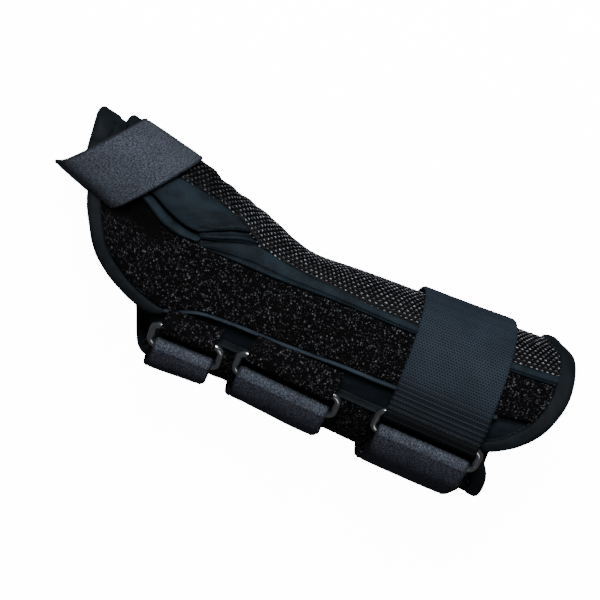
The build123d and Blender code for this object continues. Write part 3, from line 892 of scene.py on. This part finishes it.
MESH_BOTTOM, MESH_TOP = mesh_borders()
MESH_LAST = MESH_TOP[-1][0]
mesh_low = across_stations(14.0, MESH_BOTTOM[-1][0], MESH_BOTTOM)
mesh_high = across_stations(15.0, MESH_LAST, [(u, a + 1.0) for u, a in MESH_TOP])
sew("mesh_panel", "mesh", ["radial_mesh_panel", "thumb_mesh_panel"], on_thumb, mesh_low, mesh_high,
    (MESH_LAST - 4, 56), (0.625, 0.49), relief=mesh_relief, closed=False, radius=1.0)


# ---- thumb gusset, its edge band and the folds below it ----
def share_across(v):
    """0 at a panel's low border and 1 at its high one."""
    return np.clip((v - v[:, :1]) / (v[:, -1:] - v[:, :1]), 0, 1)


def gusset_relief(u, v, chart, distance):
    near_hem = ease(u[-1:] - u, 12, 0)
    crown = 0.9 * np.sin(np.pi * share_across(v)) * (1 - 0.5 * near_hem)
    fold = 0.35 * near_hem * np.sin(v * 2 * math.pi / 11.0 + 0.6)
    return (crown + fold + 0.22 * lumps(on_sheet(u, v), 17, 3)) * ease(distance, 0, 3.0)


def gusset_mask(u, v, chart):
    """Painted shade along the seam beside the mesh, and a shaded dip above the hem."""
    seam = bell(v, v[:, :1], 1.3)
    dip = bell(u[-1:] - u, 3.2, 2.0)
    return np.clip(0.9 * seam + 0.6 * dip, 0, 1)


gusset_low = route(MESH_EDGE[:-1], THUMB_SCALE)
gusset_high = route(GUSSET_TOP, THUMB_SCALE)
sew("thumb_gusset_cover", "knit", ["thumb_gusset"], on_thumb, gusset_low, gusset_high, (76, 24), (0.9, 0.8),
    top=0.35, thick=3.3, relief=gusset_relief, mask=gusset_mask, radius=1.5)


def band_relief(u, v, chart, distance):
    return (1.1 + 0.25 * lumps(on_sheet(u, v), 12, 6)) * ease(distance, 0, 2.2)


sew("thumb_edge_band", "knit", [], on_thumb, route(BAND_LOW, THUMB_SCALE), route(BAND_HIGH, THUMB_SCALE),
    (41, 5), (0.8, 0.4), top=0.3, thick=3.2, relief=band_relief, radius=1.3)

HEM = [GUSSET_TOP[-1], (72, -19), (79, -35), (84.5, -46)]
STRIP_START = [(69.2, 0.5)] + convert([(45, 31.8), (55, 26), (62.5, 22)], on_arm, to_thumb).tolist()


def fold_relief(u, v, chart, distance):
    """Gathered cloth below the gusset's hem: a thin pleat, a fuller one, and a pocket below it."""
    share = share_across(v)
    pleats = 0.9 * bell(share, 0.24, 0.08) + 2.0 * bell(share, 0.6, 0.17)
    wave = 0.25 * np.sin(u / 2.4) * np.sin(np.pi * share)
    return (pleats - 1.5) * ease(u, 0, 12) - 0.7 * (1 - ease(u, 0, 9)) + wave


# Painted shade in the gaps between the pleats and at the start of the fold.
def fold_mask(u, v, chart):
    share = share_across(v)
    gaps = bell(share, 0.04, 0.07) + bell(share, 0.39, 0.05) + bell(share, 0.95, 0.1)
    return np.clip(gaps + 0.2 * (1 - ease(u, 0, 5)), 0, 1)


sew("thumb_fold", "knit", [], on_thumb, route(HEM, THUMB_SCALE), route(STRIP_START, THUMB_SCALE), (32, 8),
    (0.6, 0.25), top=-0.9, thick=2.0, relief=fold_relief, mask=fold_mask, radius=0.5)

# ---- inner side of the thumb tube ----
def web_end():
    """How far down the tube is free of the sleeve, for each angle of its inner side."""
    table = []
    for angle in (40, 55, 75, 95, 115, 135, 155, 180):
        reach = np.arange(6, 36, 0.5)
        places, _ = on_tube(reach, np.full(reach.shape, float(angle)))
        free = reach[sleeve_distance(places) > 0.8]
        table.append((angle, float(min(31.0, free.max() if len(free) else 6.0))))
    return table


WEB_END = web_end()


def rim_place(angle):
    """Where the thumb's slanted rim lies along the thumb line."""
    return 10.6 - 6.8 * np.cos(np.radians(np.asarray(angle, float) + 80))


WEB_FIRST = 38
WEB_LAST = 182


def round_tube(first, last, low, high):
    """Two borders that run round the tube between two angles; low and high give u at an angle."""
    def border(reach):
        def at(t):
            angle = first + (last - first) * t
            return np.stack([reach(angle) + 0 * angle, angle], -1)
        return at
    return border(low), border(high)


web_borders = round_tube(WEB_FIRST, WEB_LAST, lambda a: rim_place(a) + 1.5, lambda a: smooth(WEB_END, a))
sew("thumb_web_cover", "knit", ["thumb_web_panel"], on_tube, *web_borders, (45, 22), (1.0, 0.9),
    top=-0.05, thick=2.9, relief=knit_relief(0.2, 14, 5))

# ---- palm side ----
palm_low = across_stations(SLEEVE_START + 0.4, 201.5, [(0, PALM_SIDE + 0.4), (215, PALM_SIDE + 0.4)])
palm_high = across_stations(SLEEVE_START + 0.4, MESH_X_END, [(0, 314.6), (215, 314.6)])
sew("palm_pile_panel", "pile", ["palm_panel"], on_arm, palm_low, palm_high, (195, 55), (1.3, 1.1),
    relief=pile_relief(12, 0.3))
grip_low = across_stations(-12.5, SLEEVE_START, PALM_EDGE)
grip_high = across_stations(-12.5, SLEEVE_START, [(-20, 314.6), (20, 314.6)])
sew("palm_grip_cover", "knit", ["palm_grip_panel"], on_arm, grip_low, grip_high, (37, 34), (0.9, 1.0),
    relief=knit_relief(0.2, 12, 7))

# ---- lining ----
LINING_TOP = -PANEL - 0.2
lining_low = across_stations(SLEEVE_START + 0.4, 188.0, FAR_EDGE)
lining_high = across_stations(SLEEVE_START + 0.4, 206.0, [(x, a + 360) for x, a in CLOSURE_EDGE])
sew("sleeve_lining", "lining", ["sleeve_liner"], on_arm, lining_low, lining_high, (195, 200), (2.0, 2.2),
    top=LINING_TOP, thick=1.0, radius=0.4, relief=knit_relief(0.12, 20, 2))
back_low = across_stations(-8.6, SLEEVE_START, [(-20, 6), (30, 6)])
back_high = across_stations(-8.6, SLEEVE_START, CLOSURE_EDGE)
sew("hand_lining", "lining", ["hand_back_liner"], on_arm, back_low, back_high, (33, 45), (1.0, 1.2),
    top=LINING_TOP, thick=1.0, radius=0.4)
sew("palm_lining", "lining", ["palm_liner"], on_arm, grip_low, grip_high, (37, 34), (1.2, 1.4),
    top=LINING_TOP, thick=1.0, radius=0.4)


def lining_end(angle):
    """Where the tube's lining ends: it stops short where the sleeve crosses the tube."""
    inner = np.minimum(46.0, smooth(WEB_END, np.clip(angle, 40, 180)))
    return np.where(angle < -150, 28.0, np.where(angle > WEB_FIRST, inner, 46.0))


lining_borders = round_tube(-180, 180, lambda a: rim_place(a) - 1.0, lining_end)
sew("thumb_lining", "lining", ["thumb_liner"], on_tube, *lining_borders, (110, 45), (1.6, 1.4),
    top=LINING_TOP, thick=1.0, edge=(0, 0, 1, 1), radius=0.4)

# ---- closure tongue ----
tongue_low = across_stations(16.0, 210.0, [(x, a - 8) for x, a in CLOSURE_EDGE[5:]])
tongue_high = across_stations(30.0, 189.0, [(x, a + 10) for x, a in FAR_EDGE])


def tongue_relief(u, v, chart, distance):
    p = on_sheet(u, v)
    return (0.35 * lumps(p, 26, 9) + 0.2 * lumps(p, 9, 4) + 0.9) * ease(distance, 0, 4)


sew("tongue_pad", "tongue", ["closure_tongue"], on_arm, tongue_low, tongue_high, (190, 30), (1.3, 0.9),
    top=LINING_TOP - 1.2, thick=2.0, relief=tongue_relief, radius=0.9)

# ---- bindings ----
TOP = 0.95  # heights of a binding's outer and inner side over the form
BOTTOM = -4.35


def fold_section(width):
    """Section of a binding: its outer side from the seam, round the rim and back inside."""
    radius = (TOP - BOTTOM) / 2
    centre = (TOP + BOTTOM) / 2
    seam = (0, -0.35)
    outer = [seam, (0.25, TOP * 0.35), (0.8, TOP * 0.72), (1.8, TOP * 0.98), (width - radius, TOP)]
    turn = [(width - radius + radius * math.cos(a), centre + radius * math.sin(a))
            for a in np.linspace(math.pi / 2, -math.pi / 2, 11)[1:]]
    return outer + turn + [(1.6, BOTTOM), (0.4, BOTTOM + 0.3), (0, BOTTOM + 0.8), seam]


def cord_section(width, top, bottom):
    arch = [(0, 0.1), (0.18, 0.75), (0.5, 1), (0.82, 0.75), (1, 0.1)]
    return [(0, bottom)] + [(width * x, top * y) for x, y in arch] + [(width, bottom), (0, bottom)]


HAND_RIM = [(-19.5, 22), (-16.5, 37), (-13, 51), (-9.5, 66), (-5.4, 80), (-0.5, 92), (5, 102.6),
            (10.5, 110.5), (16, 117), (22, 121.5), (27, 122.6), (31.5, 119.5), (34, 114)]
HAND_SEAM = [(-12.5, 24), (-9.5, 36), (-6.5, 48), (-3.2, 62), (1.6, 75), (6.5, 85), (11.5, 93.5),
             (16.8, 100.6), (21.5, 105.4), (25.5, 108.4), (28.5, 110.2), (30.2, 110.6), (31.2, 110.8)]
hand_roll = roll("hand_edge_binding", on_arm, route(HAND_SEAM), route(HAND_RIM), 90,
                 fold_section(6.5), seed=2, pucker=0.14)
finish_piece(hand_roll, "binding", "shell", ["hand_binding"])

PALM_RIM = [(-17.5, 311), (-12.2, 286), (-3.4, 259), (8.4, 238), (18.5, 224), (23.0, 208), (27.0, 190),
            (31.0, 170), (34.0, 152), (36.5, 141), (40.5, 134.0), (45.5, 128.5)]
PALM_SEAM = [(-11.6, 311), (-6.0, 286), (2.6, 262), (13.4, 243.6), (24.4, 229), (29.5, 209), (33.5, 190),
             (37.4, 171), (40.4, 155), (42.8, 146.0), (45.6, 140.0), (48.8, 134.8)]
palm_roll = roll("palm_edge_binding", on_arm, route(PALM_SEAM), route(PALM_RIM), 135,
                 fold_section(6.3), seed=5)
finish_piece(palm_roll, "binding", "shell", ["palm_binding", "ulnar_binding"])

END_RIM = [(186.5, 104.5), (190.5, 103.6), (194.6, 99.6), (202.3, 89), (209.3, 74), (213.2, 59),
           (215.3, 45), (215.6, 32), (214.9, 19), (213.6, 10), (210.5, 4.5), (207.8, -1), (207.0, -10),
           (207.0, -30), (207.4, -60), (206.4, -90), (204, -130), (201.5, -170), (198.8, -205),
           (195.5, -232), (190, -248)]
END_SEAM = [(183.0, 97.6), (186.0, 96.6), (189.4, 93.6), (195.6, 84.4), (202.0, 70.6), (205.4, 57.6),
            (207.0, 44.6), (207.3, 32), (206.9, 20), (206.0, 12), (203.6, 7.0), (201.4, -1), (200.5, -10),
            (200.5, -30), (200.9, -60), (199.9, -90), (197.6, -130), (195, -170), (192.4, -205),
            (189.4, -229), (184, -241)]
end_roll = roll("forearm_edge_binding", on_arm, route(END_SEAM), route(END_RIM), 250,
                fold_section(6.8), seed=11, pucker=0.16)
finish_piece(end_roll, "binding", "shell", ["forearm_binding"])


def piping(name, table, turn, start, end, node, seed, material="piping"):
    """Thin edging of the closure."""
    seam = across_stations(start, end, table)
    rim = across_stations(start, end, [(x, a + turn) for x, a in table])
    piece = roll(name, on_arm, seam, rim, end - start, cord_section(abs(turn) * 0.66, 1.1, -3.0), seed=seed,
                 pucker=0.1)
    return finish_piece(piece, material, "shell", [node])


piping("closure_piping", CLOSURE_EDGE, 3.4, 32.5, 187.0, "radial_closure_piping", 3)
# The far piping takes the darker binding material as painted shade.
piping("closure_piping_far", [(x, a + 0.4) for x, a in FAR_EDGE], 3.2, 44.0, 186.0, "ulnar_closure_piping", 4,
       "binding")


# ---- thumb rim ----
def squared(value):
    """Turns a circle's sine or cosine into that of a slightly squarer outline."""
    return np.sign(value) * np.abs(value) ** 0.8


RING_COUNT = 22  # points round a roll's section


OUTER_SIDE = (-95, 42)  # angle of the thumb's outer side, and how far it reaches


def rim_roll(name, u_middle, half_width, radius, thick, start, end, seed, wobble, dip=0.0):
    """Puffy rolled edge round the thumb opening; dip is how much flatter it is on the outer side."""
    closed = end - start == 360
    count = 130 if closed else 60
    angles = np.linspace(start, end, count, endpoint=not closed)
    ring = np.linspace(0, 2 * math.pi, RING_COUNT, endpoint=False)
    grid_a, grid_r = np.meshgrid(angles, ring, indexing="ij")
    size = np.ones_like(grid_a)
    if not closed:
        share = (grid_a - start) / (end - start)
        size = np.sqrt(np.clip(np.sin(np.pi * share), 0.02, 1))
    u = u_middle + rim_place(grid_a) + half_width * size * squared(np.cos(grid_r))
    origins, directions = thumb_rays(u, grid_a)
    radius = (radius - dip * bell(grid_a, *OUTER_SIDE))[..., None]
    place = origins + directions * radius
    bumps = 1 + wobble * (lumps(place, 15, seed) + 0.5 * lumps(place, 6, seed + 2))
    height = thick * size * bumps * squared(np.sin(grid_r))
    solid = place + directions * height[..., None]
    run = lengths(solid, 0)
    weave = on_sheet(run, lengths(solid, 1))
    faces = grid_faces(count, RING_COUNT, wrap_rows=closed, wrap_columns=True)
    if not closed:
        faces += end_caps(count, RING_COUNT)
    return make_solid(name, solid, faces, weave, 80)


# middle, half width, radius, thickness, first and last angle, seed, unevenness and dip
RIM_ROLLS = {
    "thumb_rim_roll": (0.4, 5.0, 15.6, 3.0, -180, 180, 3, 0.3, 2.6),
    "thumb_rim_fold": (6.2, 2.8, 14.6, 2.6, -172, 70, 8, 0.3, 1.8),
    "thumb_rim_overlap": (13.0, 5.0, 17.0, 3.4, -150, -62, 6, 0.3),
}
for roll_name, settings in RIM_ROLLS.items():
    piece = finish_piece(rim_roll(roll_name, *settings), "binding", "shell",
                         ["thumb_rim_binding"] if roll_name == "thumb_rim_roll" else [])


COLLAR_END = 18.0
collar_borders = round_tube(50, -175, lambda a: rim_place(a) + 0.5, lambda a: COLLAR_END)


def collar_relief(u, v, chart, distance):
    return 1.3 * bell(chart[..., 1], -25, 26) - 1.8 * bell(chart[..., 1], *OUTER_SIDE)


sew("thumb_rim_collar", "binding", [], on_tube, *collar_borders, (66, 9), (1.4, 1.0), top=-0.7,
    thick=2.2, relief=collar_relief, radius=0.8)


# ---- palm stay pocket ----
def pocket():
    """Sewn pocket under the palm with a slot for its stay."""
    half, corner, slot_half, slot_middle = 16.5, 2.6, 13.0, 2.1
    xs = np.concatenate([POCKET_START + np.array([0, 0.5, 1.2, 2.2]),
                         np.linspace(POCKET_START + 4, POCKET_END - 3, 90),
                         POCKET_END - np.array([1.6, 0.8, 0.3, 0])])
    inset = 1.4 * (1 - np.minimum(1, np.minimum(xs - POCKET_START, POCKET_END - xs) / 2.2)) ** 2
    bottom = [(y, 0.0) for y in np.linspace(-half + corner, half - corner, 15)]
    right = [(half - corner + corner * math.sin(a), corner - corner * math.cos(a))
             for a in np.linspace(0.3, 1.57, 5)]
    top_y = np.linspace(half, -half, 25)
    left = [(-y, z) for y, z in reversed(right)]
    loops, slots = [], []
    for x, step in zip(xs, inset):
        reach = np.abs(top_y).clip(0, half - 0.2)
        half_width, half_height = smooth(HALF_WIDTH, x), smooth(HALF_HEIGHT, x)
        arch = FLOOR_TO_SHELL + half_height * (1 - np.sqrt(1 - (reach / half_width) ** 2)) - 0.25
        outline = [(y, z + step * (z < 1)) for y, z in bottom + right]
        outline += list(zip(top_y, arch)) + [(y, z + step * (z < 1)) for y, z in left]
        loop = np.array(outline)
        loop[:, 0] *= 1 - step / half
        angle = np.arctan2(loop[:, 1] - slot_middle, loop[:, 0] / 4)
        reach = 1 / np.maximum(np.abs(np.cos(angle)) / (slot_half / 4), np.abs(np.sin(angle)) / 1.1)
        slot = np.stack([np.cos(angle) * reach * 4, slot_middle + np.sin(angle) * reach], -1)
        wave = 0.12 * np.sin(x / 6.0) * (np.abs(loop[:, 0]) < half - 3) * (loop[:, 1] < 0.5)
        loops.append(np.column_stack([np.full(len(loop), x), loop[:, 0], loop[:, 1] + np.abs(wave)]))
        slots.append(np.column_stack([np.full(len(loop), x), slot]))
    loops, slots = np.array(loops), np.array(slots)
    rows, count = loops.shape[:2]
    faces = grid_faces(rows, count, wrap_columns=True)
    faces += grid_faces(rows, count, rows * count, True, False, True)
    for row, flip in ((0, False), (rows - 1, True)):
        for k in range(count):
            n = (k + 1) % count
            face = [row * count + k, row * count + n, (rows + row) * count + n, (rows + row) * count + k]
            faces.append(face[::-1] if flip else face)
    run = np.concatenate([loops, slots])
    weave = on_sheet(run[..., 0], lengths(run, 1))
    return make_solid("stay_pocket", run, faces, weave, 50)


finish_piece(pocket(), "knit", "shell", ["palm_stay_pocket"])

# ---- loops and straps ----
# place of each loop along the sleeve, its angle round the sleeve and its width
RINGS = {"hand": (48.0, 117.6, 28.6), "wrist": (96.0, 112.4, 45.0), "forearm": (162.5, 106.3, 45.0)}
# angles where each strap is sewn on and where its free end lies, and how far that end stands off
ANCHOR = {"hand": 232.0, "wrist": 236.0, "forearm": 238.0}
TAIL_END = {"hand": 206.0, "wrist": 214.0, "forearm": 218.0}
TAIL_STAND = {"hand": 0.1, "wrist": 0.7, "forearm": 1.0}
TAIL_REST = 4.35  # height of a free end over the sleeve
WIRE = 1.7  # radius of a loop's bars
BAR = 5.6  # distance of its bars from its middle
RING_HEIGHT = 4.5
CLEAR = 0.25
STRAP = 1.6
WEBBING = 1.8
WEBBING_HEM = 27.0
WEBBING_START = -60.0  # its angle round the sleeve
ARCH = 110.0


def ring_frame(name):
    """Middle of a loop's root on the sleeve, and its directions across, out and along."""
    x, angle, _ = RINGS[name]
    along = unit(on_oval(x + 5, angle) - on_oval(x - 5, angle))
    around = unit(on_oval(x, angle + 1) - on_oval(x, angle - 1))
    out = unit(np.cross(along, around))
    out = out if out[2] > 0 else -out
    across = unit(np.cross(out, along))
    across = across if across[1] < 0 else -across
    return on_oval(x, angle), across, out, np.cross(across, out)


def arch_drop(t):
    """How far the sleeve has curved away below a loop's flat straps, at a distance past its middle."""
    return t ** 2 / ARCH * (1 - ease(t, 10, 22))


def strap_grid(name, path, width, count):
    """Grid of centres: path points (distance past the loop's middle, height) across the strap's width."""
    x, angle, _ = RINGS[name]
    origin, across, out, along = ring_frame(name)
    path = np.array(path, float)
    t, n, g = np.broadcast_arrays(path[:, :1], path[:, 1:], np.linspace(-0.5, 0.5, count)[None, :] * width)
    flat = origin + across * t[..., None] + out * n[..., None] + along * g[..., None]
    turn = angle + np.degrees(t / smooth(HALF_WIDTH, x))
    bent = on_oval(x + g * along[0], turn, n + arch_drop(np.abs(t)))
    share = ease(np.abs(t), 8.5, 15.0)[..., None]
    return flat * (1 - share) + bent * share


def bend_round(centre, radius, first, last):
    """Path points round a loop's bar."""
    turn = np.radians(np.linspace(first, last, 12))
    return [(centre + radius * math.cos(a), RING_HEIGHT + radius * math.sin(a)) for a in turn]


def past_middle(name, angle):
    """Distance past a loop's middle of an angle on the sleeve."""
    x, middle, _ = RINGS[name]
    return math.radians(angle - middle) * float(smooth(HALF_WIDTH, x))


def sweep(points, step=1.0):
    """Evenly spaced points on a smooth line through the given ones."""
    points = np.array(points, float)
    at = np.concatenate([[0], np.cumsum(np.linalg.norm(np.diff(points, axis=0), axis=1))])
    even = np.linspace(0, at[-1], max(6, int(at[-1] / step)))
    return np.stack([smooth(list(zip(at, points[:, i])), even) for i in range(2)], -1)


def at_loop(name, t, n):
    origin, across, out, _ = ring_frame(name)
    return world(origin + across * t + out * n)


def edge_mask(u, v):
    """Darker along the strap's edges."""
    half = np.abs(v).max(axis=1, keepdims=True)
    return 1 - ease(half - np.abs(v), 0.2, 1.6)


def tail_edge_and_shade_mask(u, v):
    """Darker edges, and painted shade towards the end where the strap turns down."""
    total = u[-1, 0]
    return np.maximum(edge_mask(u, v), 0.8 * ease(u, 0.5 * total, 0.9 * total))


def strap_relief(seed):
    def relief(u, v):
        half = np.abs(v).max(axis=1, keepdims=True)
        fuzz = 0.09 * scatter(u.shape, seed)
        row = -0.22 * bell(half - np.abs(v), 2.3, 0.35)
        return fuzz + row + 0.12 * lumps(on_sheet(u, v), 22, seed)
    return relief


def closing_strap(name):
    """Strap that is sewn on the palm side, runs under its loop's bar and folds back on itself."""
    _, _, width = RINGS[name]
    loop_radius = WIRE + CLEAR + STRAP / 2
    far = past_middle(name, ANCHOR[name])
    low = [(far, 1.25), (far * 0.75, 1.3), (far * 0.5, 1.3), (20, 1.4), (14, 1.3), (10.5, 1.5), (8, 1.7)]
    under = sweep(low + bend_round(BAR, loop_radius, -90, -270))
    centres = strap_grid(name, under, width - 1.0, 26)
    piece = strip(f"{name}_strap_under", centres, STRAP, ring_frame(name)[2] * -1, mask=edge_mask)
    bend = ("shell", f"{name}_loop", at_loop(name, 16, 1.5), at_loop(name, 8, 3))
    finish_piece(piece, "strap", None, [f"{name}_strap_base", f"{name}_strap_fold"], bend)

    last = past_middle(name, TAIL_END[name])
    top = RING_HEIGHT + loop_radius
    high = [(BAR, top), (7.5, top + 0.02), (10, top - 0.05)]
    for share in np.linspace(0.16, 1.0, 9):
        t = 10 + (last - 10) * share
        stand = TAIL_STAND[name] * bell(t, past_middle(name, 172), 16)
        above = (top + 0.9 - TAIL_REST) * (1 - float(ease(t, 5, 34)))
        high.append((t, TAIL_REST + stand + above - 0.9 * float(arch_drop(t))))
    path = sweep(high)
    centres = strap_grid(name, path, width - 0.4, 40)
    piece = strip(f"{name}_strap_end", centres, STRAP + 0.2, ring_frame(name)[2], relief=strap_relief(5),
                  mask=tail_edge_and_shade_mask)
    bend = (f"{name}_loop", f"{name}_strap_end", at_loop(name, 7, top), at_loop(name, 13, top))
    finish_piece(piece, "tail", None, [f"{name}_strap_tail"], bend)


def tab_relief(u, v):
    return 0.35 * scatter(u.shape, 4) ** 1.6


def loop_tab(name, start):
    """Fabric tab folded round a loop's fixed bar and sewn beside the closure's edge."""
    _, _, width = RINGS[name]
    radius = WIRE + CLEAR + 0.6
    low = [(start, -0.5), (start + 1.6, -0.1), (start + 3.2, 0.6), (-8, 1.6)]
    high = [(-8.2, 6.2), (start + 2.9, 3.7), (start + 1.3, 1.7), (start, 0.3)]
    path = sweep(low + bend_round(-BAR, radius, -90, 90) + high, 0.8)
    centres = strap_grid(name, path, width - 2.6, 44)
    piece = strip(f"{name}_loop_tab", centres, 1.2, ring_frame(name)[2] * -1, relief=tab_relief)
    finish_piece(piece, "pile", "shell", [f"{name}_ring_tab"])


for ring_name in RINGS:
    closing_strap(ring_name)
loop_tab("hand", -12.9)
loop_tab("wrist", -14.5)


def forearm_webbing():
    """Wide elastic from the palm side over the thumb side, folded round the forearm loop's bar."""
    name = "forearm"
    _, _, width = RINGS[name]
    radius = WIRE + CLEAR + WEBBING / 2
    first = past_middle(name, WEBBING_START)
    upper = [(first + (-18 - first) * s, 1.75 - 0.7 * (1 - s)) for s in np.linspace(0, 1, 12)]
    upper += [(-14.5, 2.6), (-11, 4.6), (-8.3, 6.4)]
    path = sweep(upper + bend_round(-BAR, radius, 90, -90) + [(-8.5, 1.2), (-11.5, 0.4), (-14.5, 0.2)], 0.8)
    centres = strap_grid(name, path, width, 60)
    total = float(np.linalg.norm(np.diff(path, axis=0), axis=1).sum())
    hem = total - WEBBING_HEM

    def relief(u, v):
        rib = 0.11 * np.sin(u * 2 * math.pi / 1.55)
        fold = -0.5 * bell(u, hem, 0.6)
        return rib + fold + 0.2 * lumps(on_sheet(u, v), 30, 2)

    def mask(u, v):
        return 0.45 * ease(u, hem - 24, hem - 6) + 0.55 * ease(u, hem - 0.5, hem + 0.8)

    out = on_oval(160, -60) - on_oval(160, 120)
    piece = strip("forearm_elastic", centres, WEBBING, out, relief=relief, mask=mask)
    finish_piece(piece, "webbing", "shell", ["forearm_webbing", "forearm_ring_tab"])
    row = int(np.searchsorted(lengths(path, 0), hem + 4.5))
    normals = unit(np.cross(centres[row + 1] - centres[row], np.gradient(centres[row], axis=0)))
    normals *= np.sign(normals @ out)[:, None] * -1
    thread = stitches("webbing_stitches", centres[row] + normals * WEBBING / 2, normals, 1.7, 0.9, 0.22)
    finish_piece(thread, "thread", "shell")


forearm_webbing()


# ---- thumb strap ----
STRAP_MIDDLE = 24.0
STRAP_SWING = 10.2
STRAP_HALF = 16.0


def thumb_strap_layer(name, first, last, off, half, count, thickness, seed, cap=None):
    """Slanted strap wound round the thumb tube, between two angles, at a height."""
    angles = np.linspace(first, last, count)
    share = np.linspace(-1, 1, 44)
    middle = STRAP_MIDDLE + STRAP_SWING * np.cos(np.radians(angles + 110))
    u = middle[:, None] + half * share[None, :]
    grid_angles = np.broadcast_to(angles[:, None], u.shape)
    if cap:
        low = middle - half
        high = np.minimum(middle + half, cap(angles))
        u = low[:, None] + (high - low)[:, None] * (share[None, :] + 1) / 2
    points, normals = on_tube(u, grid_angles)
    lifted = points + normals * (off(grid_angles) if callable(off) else off)
    out = normals[0, 22]
    return strip(name, lifted, thickness, out, relief=strap_relief(seed), mask=edge_mask)


def strap_cap(angles):
    wrapped = (np.asarray(angles) + 360) % 360
    inner = smooth(WEB_END, np.clip(wrapped, 40, 180)) - 1.0
    return np.where((wrapped > 40) & (wrapped < 185), inner, 80.0)


def end_off(angles):
    """Height of the strap's outer layer: it rises off the base and stands away at the outer side."""
    rise = ease(-angles, -62, -20)
    settle = 1.2 * ease(-angles, 40, 95)
    return (1.5 + 2.7 * rise - settle)[..., None]


base_layer = thumb_strap_layer("thumb_strap_ring", -176, 182, 1.0, STRAP_HALF - 2.4, 150, STRAP, 3, strap_cap)
finish_piece(base_layer, "strap", "shell", ["thumb_strap_base"])


def tube_place(u, angle, off):
    points, normals = on_tube(np.array([u]), np.array([angle]))
    return world(points[0] + normals[0] * off)


outer_layer = thumb_strap_layer("thumb_strap_cover", 66, -146, end_off, STRAP_HALF, 110, STRAP + 0.2, 9)
bend_start = tube_place(STRAP_MIDDLE, -62, 4.2)
bend_end = tube_place(STRAP_MIDDLE, -84, 4.2)
finish_piece(outer_layer, "strap", None, ["thumb_strap_tail"],
             ("shell", "thumb_strap_end", bend_start, bend_end))
hook_field = thumb_strap_layer("thumb_hook_field", -100, -142, 2.15, STRAP_HALF - 3, 30, 0.7, 4)
finish_piece(hook_field, "hook", "thumb_strap_end", ["thumb_hook_tab"])


# ---- stitching ----
def sewn(name, surface, chart, off, **options):
    """Row of stitches along a curve on a surface, at a height over it."""
    places = chart(np.linspace(0, 1, 160))
    points, normals = surface(places[:, 0], places[:, 1])
    finish_piece(stitches(name, points + normals * off, normals, **options), "thread", "shell")


sewn("hem_stitches", on_thumb, route([(65, -13), (71, -22), (77.5, -36), (82, -46)], THUMB_SCALE), 0.95,
     pitch=1.7, length=1.1, radius=0.2)
sewn("forearm_edge_stitches", on_arm, route([(x - 1.1, a) for x, a in END_SEAM[3:16]]), 0.2, pitch=2.4,
     length=1.6, radius=0.2)
sewn("mesh_edge_stitches", on_thumb, route([(u, a - 3.0) for u, a in MESH_EDGE[1:]], THUMB_SCALE), 0.45,
     pitch=2.2, length=1.5, radius=0.22)


# ---- kept CAD nodes ----
KEPT = {"palm_stay": "aluminium", "thumb_stay": "aluminium", "palm_stay_grip": "grip",
        "radial_spring_stay": "steel"}
for ring_name in RINGS:
    KEPT[f"{ring_name}_ring"] = "ring"
    KEPT[f"{ring_name}_hook_tab"] = "hook"

for node_name, material_name in KEPT.items():
    node = frame["nodes"][node_name]
    node.data.materials.clear()
    node.data.materials.append(MATERIALS[material_name])
    for polygon in node.data.polygons:
        polygon.material_index = 0


# ---- floor, light and camera ----
FLOOR_GLOW = 14.0
FLOOR_REACH = 3.0
CAMERA_TARGET = np.array([89.0, 15.0, 36.0])
CAMERA_DISTANCE = 1100
CAMERA_ROLL = 21


def floor():
    mesh = bpy.data.meshes.new("floor")
    corners = [(-1, -1), (1, -1), (1, 1), (-1, 1)]
    mesh.from_pydata([(x * FLOOR_REACH, y * FLOOR_REACH, 0) for x, y in corners], [], [(0, 1, 2, 3)])
    piece = bpy.data.objects.new("floor", mesh)
    bpy.context.scene.collection.objects.link(piece)
    material, _, shader = start_material("pale_floor")
    fill_in(shader, {"Base Color": (0.92, 0.92, 0.92, 1), "Roughness": 0.9,
                     "Emission Color": (1, 1, 1, 1), "Emission Strength": FLOOR_GLOW})
    mesh.materials.append(material)
    piece.visible_diffuse = False
    piece.visible_glossy = False


def put_object(piece, right, up, back, place):
    """Links a lamp or camera that looks against back."""
    bpy.context.scene.collection.objects.link(piece)
    matrix = np.eye(4)
    matrix[:3] = np.column_stack([right, up, back, place])
    piece.matrix_world = Matrix(matrix.tolist())


def lamp(name, place, target, size, power):
    data = bpy.data.lights.new(name, "AREA")
    data.energy = power
    data.size = size
    piece = bpy.data.objects.new(name, data)
    back = unit(np.array(place, float) - np.array(target, float))
    right = unit(np.cross((0, 0, 1), back))
    put_object(piece, right, np.cross(back, right), back, place)


def camera():
    """Camera above the back of the hand, rolled so that the forearm runs down to the right."""
    view = unit(np.array([-0.12, 0.34, 0.93]))
    level = unit(np.array([1.0, 0, 0]) - view * view[0])
    other = np.cross(view, level)
    turn = math.radians(CAMERA_ROLL)
    right = level * math.cos(turn) + other * math.sin(turn)
    up = -level * math.sin(turn) + other * math.cos(turn)
    data = bpy.data.cameras.new("camera")
    data.lens = 145
    data.sensor_width = 36
    data.clip_end = 20
    piece = bpy.data.objects.new("camera", data)
    put_object(piece, right, up, view, world(CAMERA_TARGET + view * CAMERA_DISTANCE))
    bpy.context.scene.camera = piece


floor()
lamp("key", (-0.2, 0.85, 0.85), (0, 0, 0.04), 0.5, 30)
lamp("fill", (0.3, -0.6, 1.1), (0, 0, 0.04), 0.5, 2.0)
surroundings = bpy.data.worlds.new("studio")
surroundings.use_nodes = True
fill_in(surroundings.node_tree.nodes["Background"], {"Color": (1, 1, 1, 1), "Strength": 0.1})
bpy.context.scene.world = surroundings
camera()
